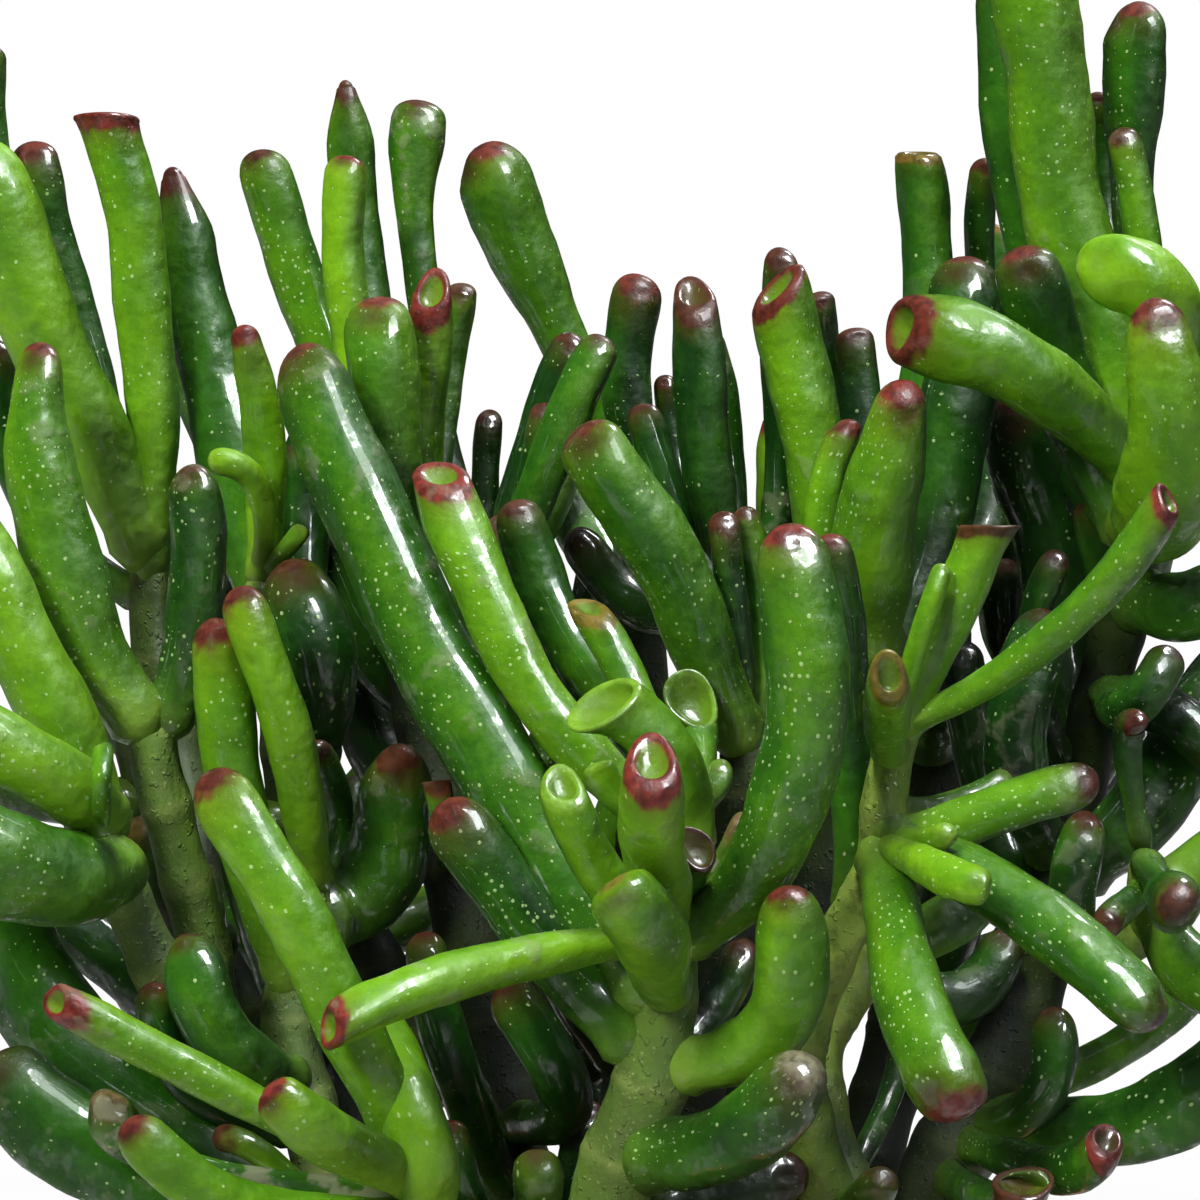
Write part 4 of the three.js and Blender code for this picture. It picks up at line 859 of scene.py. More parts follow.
def leaf_outline(leaf):
    """The leaf's profile: share of the axis, half-width, height past the rim and in-mouth mark, ring by
    ring. A dome is a quarter of an ellipse from the last row to the tip. The widths are eased twice by
    the mean of a ring's own width, taken double, and its neighbours'."""
    rows = rows_of(leaf, SKINS)
    end, last = rows[-1]
    share = end * np.linspace(0, 1, LEAF_RINGS) ** 0.85
    width = curve_through(rows, share)
    if leaf["form"] in OPEN_FORMS:
        lip = np.array(MOUTHS[leaf["form"]])
        share = np.concatenate([share, np.ones(len(lip))])
        width = np.concatenate([width, lip[:, 0]])
        height = np.concatenate([np.zeros(LEAF_RINGS), lip[:, 1]])
    else:
        turn = np.linspace(0, math.pi / 2, DOME_RINGS + 1)[1:-1]
        share = np.concatenate([share, end + (1 - end) * np.sin(turn)])
        width = np.concatenate([width, last * np.cos(turn)])
        height = np.zeros(len(share))
    for _ in range(2):
        width[1:-1] = (width[:-2] + 2 * width[1:-1] + width[2:]) / 4
    in_mouth = (leaf["form"] in OPEN_FORMS) & (np.arange(len(share)) > LEAF_RINGS + 3)
    mouth = smooth_step(0.12, -0.02, np.where(in_mouth, height, 1))
    return share, width, height, mouth


def leaf_skin(leaf, sides, draws):
    """A leaf's closed skin, in metres.

    Rings of points stand square to the axis, an ellipse each, as wide as the outline says, wider
    at the collar where the leaf leaves its stem, and with the waves added. An open leaf's rings
    lean towards its rim, so that its mouth looks to the side that it faces, and the rim of an
    upright one is brought level from side to side. A closed tip leans a little, and has a dimple
    in its face. The axis bows sideways by a sine of the distance along it. The layers are marks
    for the leaf's finish: its tone and cap, streaks, the dimple, which also takes painted shade, the
    crown's painted shade, the mouth, whose inside is partly painted shade.
    """
    half = leaf["half"]
    share, width, height, mouth = leaf_outline(leaf)
    is_open = leaf["form"] in OPEN_FORMS
    before, after = np.clip(share - 0.01, 0, 1), np.clip(share + 0.01, 0, 1)
    tangent = along(leaf, after) - along(leaf, before)
    tangent /= np.linalg.norm(tangent, axis=1, keepdims=True)
    front = leaf["face"] - (tangent @ leaf["face"])[:, None] * tangent
    front /= np.linalg.norm(front, axis=1, keepdims=True)
    across = np.cross(tangent, front)
    turn = 2 * math.pi * np.arange(sides) / sides
    phase = 2 * math.pi * draws[:4]
    near_tip = smooth_step(0.75, 1, share)[:, None]
    centre = along(leaf, share)
    steps = np.linalg.norm(np.diff(centre, axis=0), axis=1)
    run = np.concatenate([[0], np.cumsum(steps)])
    collar = COLLAR * bell(run - leaf["stem"], COLLAR_LENGTH)
    wave = waves(LEAF_WAVES, turn, share, run, phase)
    wave = wave + near_tip * waves(TIP_WAVES, turn, share, run, phase)
    pit = 0 * wave
    if not is_open:
        to_tip = (leaf_length(leaf) - run[:, None]) / half
        facing = bell(turn - math.pi / 2 - DENT_TURN * (draws[5] - 0.5), DENT_WIDTH)
        pit = facing * bell(to_tip - DENT_PLACE, DENT_LENGTH)
        wave = wave - DENT * pit
    radius = half * width[:, None] * (1 - SKIN_INSET + wave + collar[:, None])
    out = np.sin(turn) * radius * THICKNESS
    slant = leaf["slant"] if is_open else TIP_SLANT * (draws[6] - TIP_UPRIGHT)
    towards_tip = smooth_step(SLANT_START, 1, share)[:, None]
    rise = height[:, None] * half - slant * towards_tip * out
    if is_open:
        upright = tangent[:, 2:]
        level = np.clip(across[:, 2:] / np.maximum(upright, 0.3), -LEVEL_MOST, LEVEL_MOST)
        level = level * smooth_step(*LEVEL_FROM, upright)
        rise = rise + LEVEL * level * towards_tip * np.cos(turn) * radius
    bow = BOW * half * np.sin(BOW_RATE * run + phase[1])
    bow = bow * smooth_step(0, 0.3, share) * smooth_step(1, 0.7, share)
    centre = centre + across * bow[:, None]
    rings = (
        centre[:, None]
        - across[:, None] * (np.cos(turn) * radius)[..., None]
        + front[:, None] * out[..., None]
        + tangent[:, None] * rise[..., None]
    )
    end = leaf["tip"].copy()
    if is_open:
        end = end - MOUTH_DEPTHS[leaf["form"]] * half * tangent[-1]
    steps = np.linalg.norm(np.diff(rings[:, 0], axis=0), axis=1)
    run = np.concatenate([[0], np.cumsum(steps)])
    crest = run[LEAF_RINGS + 2] if is_open else run[-1] + np.linalg.norm(end - rings[-1, 0])
    mark = leaf["cap"]
    colour, reach, blush = CAPS[mark[0]]
    reach *= (OPEN_REACH if is_open else 1) * (0.75 + 0.5 * draws[5])
    layers = {
        "tone": leaf["tone"] + TONE_WANDER * (draws[4] - 0.5),
        "streak": waves(LEAF_STREAKS, turn, share, run, phase),
        "pit": pit,
        "shade": shade_of(centre, *SHADE_LEAVES),
        "from_tip": np.abs(run - crest) / reach,
        "mouth": mouth,
        "share": share,
        "blush": blush,
        "dots": MANY_DOTS if "+" in mark else FEW_DOTS + MORE_DOTS * draws[6],
        "scab": 1.0 if "s" in mark else SOME_SCAB * draws[7] ** 3,
        "cap": np.array(colour),
        "base": np.exp(-np.maximum(run - leaf["stem"], 0) / FOOT_FADE),
    }
    grain = (half * np.linspace(0, 2 * math.pi, sides + 1) + 50 * draws[5], run + 50 * draws[6])
    return shell(rings, leaf["root"], end, grain, layers)


def shade_of(points, near, far):
    """How much painted shade points take for the crown's shade: it grows with the depth from near to far,
    below the top of the crown, and fades again towards the crown's back."""
    low = smooth_step(*SHADE_TOP, points[:, 2] - CENTRE[2])
    depth = (points - CENTRE) @ AWAY
    return low * smooth_step(near, far, depth) * smooth_step(*SHADE_BACK, depth)


def branch_skin(branch, extra_age_and_shade, sides, draws):
    """A branch's closed skin, in metres: rings square to a smooth curve through its points, a cubic in
    each stretch, swollen at evenly spaced leaf scars and rippled by low waves, with a round end. The
    age mark grows with the thickness, and it carries painted shade: it grows more in the crown's
    shade, and with the stem's own extra, which is partly painted shade too."""
    points, radii = branch
    spans = np.linalg.norm(np.diff(points, axis=0), axis=1)
    at = np.concatenate([[0], np.cumsum(spans)])
    count = int(at[-1] / STEM_RING_STEP)
    run = np.linspace(0, at[-1], count)
    slopes = np.gradient(points, at, axis=0)
    k = np.clip(np.searchsorted(at, run, side="right") - 1, 0, len(spans) - 1)
    u = ((run - at[k]) / spans[k])[:, None]
    span = spans[k][:, None]
    centre = (
        points[k] * (1 - 3 * u**2 + 2 * u**3)
        + points[k + 1] * (3 * u**2 - 2 * u**3)
        + slopes[k] * span * (u - 2 * u**2 + u**3)
        + slopes[k + 1] * span * (u**3 - u**2)
    )
    radius = np.interp(run, at, radii)
    tangent = np.gradient(centre, axis=0)
    tangent /= np.linalg.norm(tangent, axis=1, keepdims=True)
    side = np.array([1.0, 0.0, 0.0]) - tangent * tangent[:, :1]
    side /= np.linalg.norm(side, axis=1, keepdims=True)
    other = np.cross(tangent, side)
    turn = 2 * math.pi * np.arange(sides) / sides
    phase = 2 * math.pi * draws[:4]
    scar = np.abs((run / SCAR_SPACING + draws[4]) % 1 - 0.5) * SCAR_SPACING
    (swelling, swelling_width), (groove, groove_width) = SCAR_SWELLING, SCAR_GROOVE
    swell = swelling * bell(scar, swelling_width) - groove * bell(scar, groove_width)
    wave = waves(STEM_WAVES, turn, run / at[-1], run, phase) + swell[:, None]
    left = at[-1] - run
    closing = np.sqrt(np.clip(1 - (1 - np.clip(left / radius, 0, 1)) ** 2, 0.04, 1))
    wide = radius[:, None] * (1 - SKIN_INSET + wave) * closing[:, None]
    rings = (
        centre[:, None]
        + side[:, None] * (np.cos(turn) * wide)[..., None]
        + other[:, None] * (np.sin(turn) * wide)[..., None]
    )
    shade = shade_of(centre, *SHADE_STEMS)
    # Painted shade goes into the age mark: it grows in the crown's shade, and with the stem's own extra.
    age = smooth_step(*AGEING_RADII, radius) * (BARE_AGE + (1 - BARE_AGE) * shade) + extra_age_and_shade
    layers = {"age": age, "scar": bell(scar, SCAR_MARK), "shade": shade}
    grain = (radius.mean() * np.linspace(0, 2 * math.pi, sides + 1), run)
    return shell(rings, centre[0], centre[-1], grain, layers, kind=1)


def shell(rings, start, end, grain, layers, kind=0):
    """A closed skin's arrays, from rings of points in mm: quads between rings, and fans to the start and
    end points. The grain is the distance round and along, in mm, for the UV map. A layer holds a value
    or a colour for the whole skin, or a value for each ring, or one for each of its points."""
    rows, sides = rings.shape[:2]
    first, last, top = rows * sides, rows * sides + 1, (rows - 1) * sides
    r, s = (grid.ravel() for grid in np.meshgrid(np.arange(rows - 1), np.arange(sides), indexing="ij"))
    after = (s + 1) % sides
    quads = np.stack([r * sides + s, r * sides + after, (r + 1) * sides + after, (r + 1) * sides + s], 1)
    around, run = grain
    quad_grain = np.stack(
        [np.stack([around[s], around[s + 1], around[s + 1], around[s]], 1),
         np.stack([run[r], run[r], run[r + 1], run[r + 1]], 1)], -1,
    )
    s = np.arange(sides)
    after = (s + 1) % sides
    low = np.stack([np.full(sides, first), after, s], 1)
    high = np.stack([np.full(sides, last), top + s, top + after], 1)
    fan_around = np.tile(np.stack([around[s], around[s + 1], around[s]], 1), (2, 1))
    fan_run = np.repeat([run[0], run[-1]], sides)[:, None] * np.ones(3)
    fan_grain = np.stack([fan_around, fan_run], -1)
    spread = {}
    for key, value in layers.items():
        value = np.asarray(value, float)
        if value.ndim == 1 and len(value) == rows:
            spread[key] = np.concatenate([np.repeat(value, sides), value[[0, -1]]])
        elif value.shape == (rows, sides):
            spread[key] = np.concatenate([value.ravel(), value[[0, -1]].mean(1)])
        else:
            spread[key] = np.broadcast_to(value, (rows * sides + 2, *value.shape))
    return {
        "points": np.concatenate([rings.reshape(-1, 3), [start, end]]) * MM,
        "quads": quads,
        "fans": np.concatenate([low, high]),
        "grain": np.concatenate([quad_grain.reshape(-1, 2), fan_grain.reshape(-1, 2)]),
        "layers": spread,
        "kind": kind,
    }


def build(name, shells, materials, node):
    """One object from closed shells, which stands for a CAD node. Layers become point attributes."""
    sizes = np.array([len(part["points"]) for part in shells])
    offsets = np.concatenate([[0], np.cumsum(sizes)[:-1]])
    corners, lengths, kinds, grain = [], [], [], []
    for part, offset in zip(shells, offsets):
        corners += [(part["quads"] + offset).ravel(), (part["fans"] + offset).ravel()]
        lengths += [np.full(len(part["quads"]), 4), np.full(len(part["fans"]), 3)]
        kinds.append(np.full(len(part["quads"]) + len(part["fans"]), part["kind"]))
        grain.append(part["grain"])
    corners, lengths = np.concatenate(corners).astype(np.int32), np.concatenate(lengths)
    mesh = bpy.data.meshes.new(name)
    mesh.vertices.add(int(sizes.sum()))
    mesh.vertices.foreach_set("co", np.concatenate([part["points"] for part in shells]).ravel())
    mesh.loops.add(len(corners))
    mesh.loops.foreach_set("vertex_index", corners)
    mesh.polygons.add(len(lengths))
    mesh.polygons.foreach_set("loop_start", np.concatenate([[0], np.cumsum(lengths)[:-1]]).astype(np.int32))
    mesh.polygons.foreach_set("material_index", np.concatenate(kinds).astype(np.int32))
    mesh.update(calc_edges=True)
    mesh.polygons.foreach_set("use_smooth", np.ones(len(lengths), bool))
    mesh.uv_layers.new(name="grain").data.foreach_set("uv", np.concatenate(grain).ravel())
    for key in dict.fromkeys(key for part in shells for key in part["layers"]):
        colour = any(np.ndim(part["layers"].get(key)) == 2 for part in shells)
        blank = np.zeros(3) if colour else 0.0
        rows = [
            np.broadcast_to(part["layers"].get(key, blank), (size, 3) if colour else size)
            for part, size in zip(shells, sizes)
        ]
        values = np.concatenate(rows)
        if colour:
            values = np.concatenate([values, np.ones((len(values), 1))], 1)
            mesh.attributes.new(key, "FLOAT_COLOR", "POINT").data.foreach_set("color", values.ravel())
        else:
            mesh.attributes.new(key, "FLOAT", "POINT").data.foreach_set("value", values)
    if mesh.validate():
        raise RuntimeError(f"the mesh of {name} isn't valid")
    for material in materials:
        mesh.materials.append(material)
    piece = bpy.data.objects.new(name, mesh)
    bpy.context.scene.collection.objects.link(piece)
    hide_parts(node)
    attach(piece, BODY)
    return piece


def turned(profile, sides, ripple=0.0, ripple_length=3.0):
    """A profile of radius and height, in mm, turned about the Z axis from one axis point to another,
    with low rings along it: the radius gains a sine of the distance along the profile."""
    profile = np.array(profile, float)
    turn = 2 * math.pi * np.arange(sides) / sides
    run = np.concatenate([[0], np.cumsum(np.linalg.norm(np.diff(profile[1:-1], axis=0), axis=1))])
    radius = (profile[1:-1, 0] + ripple * np.sin(2 * math.pi * run / ripple_length))[:, None]
    height = profile[1:-1, 1][:, None] + 0 * turn
    rings = np.stack([radius * np.cos(turn), radius * np.sin(turn), height], -1)
    grain = (np.linspace(0, 2 * math.pi, sides + 1) * radius.max(), run)
    start, end = (np.array([0.0, 0.0, z]) for z in (profile[0, 1], profile[-1, 1]))
    return shell(rings, start, end, grain, {})


def rounded(corners, radius, steps=5):
    """An outline with each inner corner cut back by the radius and bridged by a quadratic curve."""
    corners = np.array(corners, float)
    points = [corners[:1]]
    for before, corner, after in zip(corners, corners[1:], corners[2:]):
        cuts = []
        for neighbour in (before, after):
            way = neighbour - corner
            length = np.linalg.norm(way)
            cuts.append(corner + way / length * min(radius, length * 0.45))
        u = np.linspace(0, 1, steps)[:, None]
        points.append((1 - u) ** 2 * cuts[0] + 2 * u * (1 - u) * corner + u**2 * cuts[1])
    return np.concatenate([*points, corners[-1:]])


def filled(outline, step):
    """The outline with points added, so that no stretch is longer than the step."""
    points = [outline[:1]]
    for low, high in zip(outline, outline[1:]):
        count = max(1, math.ceil(np.linalg.norm(high - low) / step))
        points.append(low + (high - low) * (np.arange(count) + 1)[:, None] / count)
    return np.concatenate(points)


# A crumb's corners and its six faces, turned outwards.
CRUMB = np.array([[x, y, z] for z in (-0.5, 0.5) for y in (-0.5, 0.5) for x in (-0.5, 0.5)])
CRUMB_FACES = np.array([[0, 2, 3, 1], [4, 5, 7, 6], [0, 1, 5, 4], [2, 6, 7, 3], [0, 4, 6, 2], [1, 3, 7, 5]])


def crumbs(places, sizes, tints, draws):
    """Small closed blocks: corners shifted at random, scaled to their sizes, turned at random, and set
    at their places, in mm. Each has its own tint."""
    count = len(places)
    shape = (CRUMB + draws.uniform(-0.16, 0.16, (count, 8, 3))) * sizes[:, None]
    tilt, turn = draws.normal(0, 0.35, (count, 2)), draws.uniform(0, 2 * math.pi, count)
    for axis, angle in ((0, tilt[:, 0]), (1, tilt[:, 1]), (2, turn)):
        a, b = [k for k in range(3) if k != axis]
        cos, sin = np.cos(angle)[:, None], np.sin(angle)[:, None]
        first, second = shape[..., a].copy(), shape[..., b].copy()
        shape[..., a], shape[..., b] = cos * first - sin * second, sin * first + cos * second
    quads = (CRUMB_FACES + 8 * np.arange(count)[:, None, None]).reshape(-1, 4)
    return {
        "points": (shape + places[:, None]).reshape(-1, 3) * MM,
        "quads": quads,
        "fans": np.zeros((0, 3), int),
        "grain": np.zeros((quads.size, 2)),
        "layers": {"tint": np.repeat(tints, 8, axis=0)},
        "kind": 0,
    }


# The mix's low dome, in mm, the width of its shoulder and the rings inside that, and the waves on it, as
# height, radians in a mm each way, and phase.
MIX_DOME = 1.6
MIX_SHOULDER = 0.7
MIX_RINGS = 48
MIX_WAVES = [
    (0.7, 0.19, 0.11, 0.4), (0.56, -0.13, 0.27, 1.9), (0.315, 0.47, 0.38, 2.6), (0.21, 0.8, -0.66, 0),
]


def mix_height(x, y):
    """The height of the potting mix: a dome that dips by the square of the way out, and four sines."""
    edge = np.hypot(x, y) / MIX_RADIUS
    lumps = sum(high * np.sin(by_x * x + by_y * y + phase) for high, by_x, by_y, phase in MIX_WAVES)
    return SOIL_TOP + MIX_DOME * (1 - edge**2) + lumps


def mix_body(sides=180):
    """The potting mix's closed body: out along its flat base, up the pot's taper and in over its top."""
    turn = 2 * math.pi * np.arange(sides) / sides
    inner = np.linspace(MIX_RADIUS - MIX_SHOULDER, 1, MIX_RINGS)
    radii = np.concatenate([[MIX_FOOT * 0.5, MIX_FOOT, MIX_RADIUS], inner])
    x, y = radii[:, None] * np.cos(turn), radii[:, None] * np.sin(turn)
    height = mix_height(x, y)
    height[:2] = POT_FLOOR + MIX_CLEARANCE
    rings = np.stack([x, y, height], -1)
    grain = (turn[[*range(sides), 0]] * MIX_RADIUS, np.arange(len(radii)) * 1.0)
    top = np.array([0.0, 0.0, float(mix_height(0.0, 0.0))])
    layers = {"tint": np.array(PEAT)}
    return shell(rings, np.array([0.0, 0.0, POT_FLOOR + MIX_CLEARANCE]), top, grain, layers)


def cut_holes(piece):
    """Cuts the drain holes out of the pot's floor: upright posts on a circle, taken away from it."""
    cutters = []
    for i in range(DRAINS):
        turn = 2 * math.pi * (i + 0.5) / DRAINS
        rows = [(0, -1), (DRAIN_RADIUS, -1), (DRAIN_RADIUS, POT_FLOOR + 1), (0, POT_FLOOR + 1)]
        post = turned(rows, 40)
        post["points"] += np.array([math.cos(turn), math.sin(turn), 0]) * DRAIN_CIRCLE * MM
        mesh = bpy.data.meshes.new("cutter")
        mesh.from_pydata(post["points"], [], [*post["quads"], *post["fans"]])
        cutter = bpy.data.objects.new("cutter", mesh)
        bpy.context.scene.collection.objects.link(cutter)
        cutters.append(cutter)
        cut = piece.modifiers.new("cut", "BOOLEAN")
        cut.object = cutter
    graph = bpy.context.evaluated_depsgraph_get()
    cut_mesh = bpy.data.meshes.new_from_object(piece.evaluated_get(graph), depsgraph=graph)
    piece.modifiers.clear()
    piece.data = cut_mesh
    for cutter in cutters:
        bpy.data.objects.remove(cutter)


# ------------------------------------------------------------------ materials

# Tints on the leaves: the darkest of a cap, the blush below it, painted shade in the dimple, a mouth's
# inside on a lime leaf and on a dark one, partly painted shade in the hollow, corky patches, and
# painted shade deep in the crown.
CAP_DARK = (0.02, 0.004, 0.003)
BLUSH = (0.1, 0.035, 0.006)
DIMPLE_SHADE = (0.035, 0.009, 0.005)
MOUTH_GREEN = (0.085, 0.16, 0.01)
MOUTH_BROWN = (0.06, 0.03, 0.008)
CORK = (0.2, 0.21, 0.13)
LEAF_SHADE = (0.004, 0.012, 0.002)
# The tones of the four greens, and the dots: cells in a mm of grain, and a dot's least and most size in
# cells. The coat between the glossy patches and on a lime leaf, as shares of its weight, and how much
# rougher and smoother the skin is between the patches and in them.
GREENS_AT = (0.0, 0.34, 0.66, 1.0)
DOT_CELLS = 0.85
DOT_SIZES = (0.07, 0.27)
THIN_COAT = 0.12
LIME_GLOSS = 0.4
ROUGHER = 0.1
SMOOTHER = 0.08
# Tints on the stems: pale grain, leaf scars, dark blotches, pale specks, and painted shade deep in the
# crown.
STEM_GRAIN = (0.16, 0.17, 0.06)
STEM_SCAR = (0.27, 0.33, 0.09)
STEM_BLOTCH = (0.045, 0.075, 0.014)
STEM_SPECK = (0.3, 0.37, 0.16)
STEM_SHADE = (0.006, 0.012, 0.003)
# Tints on the potting mix and the clay, and painted shade in the clay's pits.
MIX_DARK = (0.012, 0.008, 0.005)
MIX_DUST = (0.2, 0.15, 0.1)
LIME_BLOOM = (0.62, 0.54, 0.46)
PORE_SHADE = (0.12, 0.04, 0.02)

SOCKETS = {
    "ior": "IOR",
    "roughness": "Roughness",
    "specular": "Specular IOR Level",
    "coat": "Coat Weight",
    "coat_roughness": "Coat Roughness",
    "coat_ior": "Coat IOR",
}


class Finish:
    """A material on the Principled shader, with short calls for the nodes that feed it."""

    def __init__(self, name, **surface):
        self.material = bpy.data.materials.new(name)
        self.material.use_nodes = True
        self.tree = self.material.node_tree
        self.shader = self.tree.nodes["Principled BSDF"]
        for socket, value in surface.items():
            self.shader.inputs[SOCKETS[socket]].default_value = value

    def node(self, kind, inputs=(), **settings):
        """A new node, with its inputs, by place or by name, joined to a socket or set to a value."""
        made = self.tree.nodes.new(kind)
        for key, value in settings.items():
            setattr(made, key, value)
        for key, value in inputs.items() if isinstance(inputs, dict) else enumerate(inputs):
            if isinstance(value, bpy.types.NodeSocket):
                self.tree.links.new(value, made.inputs[key])
            elif value is not None:
                made.inputs[key].default_value = value
        return made

    def sum(self, operation, *values):
        return self.node("ShaderNodeMath", values, operation=operation).outputs[0]

    def plus(self, a, b):
        return self.sum("ADD", a, b)

    def times(self, a, b):
        return self.sum("MULTIPLY", a, b)

    def rise(self, value, low, high, to_low=0.0, to_high=1.0):
        """From to_low to to_high as the value goes from low to high, eased at both ends."""
        settings = {"Value": value, "From Min": low, "From Max": high, "To Min": to_low, "To Max": to_high}
        return self.node("ShaderNodeMapRange", settings, interpolation_type="SMOOTHSTEP").outputs[0]

    def mix(self, share, a, b, blend="MIX"):
        """From colour a to colour b by the share, or another way of blending them."""
        made = self.node("ShaderNodeMix", data_type="RGBA", blend_type=blend, clamp_factor=True)
        for socket, value in ((0, share), (6, a), (7, b)):
            if isinstance(value, bpy.types.NodeSocket):
                self.tree.links.new(value, made.inputs[socket])
            else:
                made.inputs[socket].default_value = value if socket == 0 else (*value, 1.0)
        return made.outputs[2]

    def mark(self, name, output="Fac"):
        """A layer of the piece, as a number or as a colour."""
        return self.node("ShaderNodeAttribute", attribute_name=name).outputs[output]

    def spot(self):
        """Object coordinates, in metres."""
        return self.node("ShaderNodeTexCoord").outputs["Object"]

    def noise(self, where, size, detail=2.0, roughness=0.5, output=0):
        """Soft noise about 0.5, with features of a size in mm."""
        inputs = {"Vector": where, "Scale": 1 / (size * MM), "Detail": detail, "Roughness": roughness}
        return self.node("ShaderNodeTexNoise", inputs).outputs[output]

    def ramp(self, value, stops):
        """A colour that runs through the stops, each a value and its colour."""
        made = self.node("ShaderNodeValToRGB", [value])
        line = made.color_ramp
        for _ in stops[2:]:
            line.elements.new(0.5)
        for element, (at, colour) in zip(line.elements, stops):
            element.position = at
            element.color = (*colour, 1.0)
        return made.outputs[0]

    def stretched(self, where, scale):
        """Coordinates scaled each way, so that a pattern is drawn out where the scale is below 1."""
        return self.node("ShaderNodeMapping", {"Vector": where, "Scale": scale}).outputs[0]

    def finish(self, colour, roughness, height, depth):
        """Joins the colour, the roughness and the bump, whose height of 1 stands a depth in mm."""
        bump = self.node("ShaderNodeBump", {"Height": height, "Distance": depth * MM, "Strength": 1.0})
        for socket, value in (("Base Color", colour), ("Roughness", roughness), ("Normal", bump.outputs[0])):
            self.tree.links.new(value, self.shader.inputs[socket])
        return self.material


def leaf_tone(f, spot, fine, speck):
    """The leaf's own tone, spread by mottling in three sizes and by streaks, and paler at the root."""
    tone = f.plus(f.mark("tone"), f.times(f.plus(f.noise(spot, 9, 2), -0.5), 0.42))
    tone = f.plus(tone, f.times(f.plus(fine, -0.5), 0.26))
    tone = f.plus(tone, f.times(f.plus(speck, -0.5), 0.2))
    tone = f.plus(tone, f.times(f.mark("streak"), 0.17))
    paler = f.times(f.rise(f.mark("share"), 0.4, 0.0), f.rise(tone, 0.1, 0.9, 0.03, 0.1))
    return f.plus(tone, paler)


def leaf_dots(f, spot):
    """Pale breathing dots: one in a Voronoi cell of about 1.2 mm on the grain, where the cell's own draw
    is below the local share of dots. The dot's size is the cell's second draw."""
    grain = f.node("ShaderNodeUVMap", uv_map="grain").outputs[0]
    cells = f.node("ShaderNodeTexVoronoi", {"Vector": grain, "Scale": DOT_CELLS}, voronoi_dimensions="2D")
    draw = f.node("ShaderNodeSeparateColor", [cells.outputs["Color"]])
    size = f.rise(draw.outputs[1], 0.2, 1.1, *DOT_SIZES)
    near = f.rise(f.sum("DIVIDE", cells.outputs["Distance"], size), 1.0, 0.5)
    crowd = f.times(f.mark("dots"), f.rise(f.noise(spot, 6, 3), 0.4, 0.62, 0.1, 2.0))
    return f.times(near, f.sum("LESS_THAN", draw.outputs[0], crowd))


def leaf_cap(f, spot, colour, tone):
    """The stain of a cap over the skin's colour: it fades out over its reach, along an uneven line, and
    a faint blush goes on past it. A closed tip's dimple takes painted shade, and a mouth is darker
    inside, partly its own green or brown and partly painted shade in the hollow."""
    blush, mouth = f.mark("blush"), f.mark("mouth")
    edge = f.plus(f.mark("from_tip"), f.times(f.plus(f.noise(spot, 2.2, 3), -0.5), 0.9))
    cap = f.mix(f.rise(f.noise(spot, 1.3, 3), 0.35, 0.7), f.mark("cap", "Color"), CAP_DARK)
    cap = f.mix(0.7, f.mark("cap", "Color"), cap)
    colour = f.mix(f.times(blush, f.rise(edge, 2.4, 0.6, 0.0, 0.3)), colour, BLUSH)
    stain = f.times(f.times(blush, f.rise(edge, 1.05, 0.6)), f.rise(mouth, 0.0, 1.0, 1.0, 0.25))
    colour = f.mix(stain, colour, cap)
    # Painted shade in the dimple of a closed tip.
    colour = f.mix(f.times(f.times(f.mark("pit"), blush), 0.7), colour, DIMPLE_SHADE)
    # A mouth's inside: its own green or brown, darkened partly as painted shade in the hollow.
    inside = f.mix(f.times(f.rise(tone, 0.8, 0.2), blush), MOUTH_GREEN, MOUTH_BROWN)
    return f.mix(f.times(mouth, 0.7), colour, inside)


def leaf_patches(f, spot):
    """Where the skin is glossy: broad patches, broken into small flakes that are taller than wide."""
    flake = f.rise(f.noise(f.stretched(spot, (1, 1, 0.6)), 1.5, 4, 0.65), 0.44, 0.56, 0.3, 1.0)
    return f.times(f.rise(f.noise(spot, 5.5, 4, 0.6), 0.42, 0.56), flake)


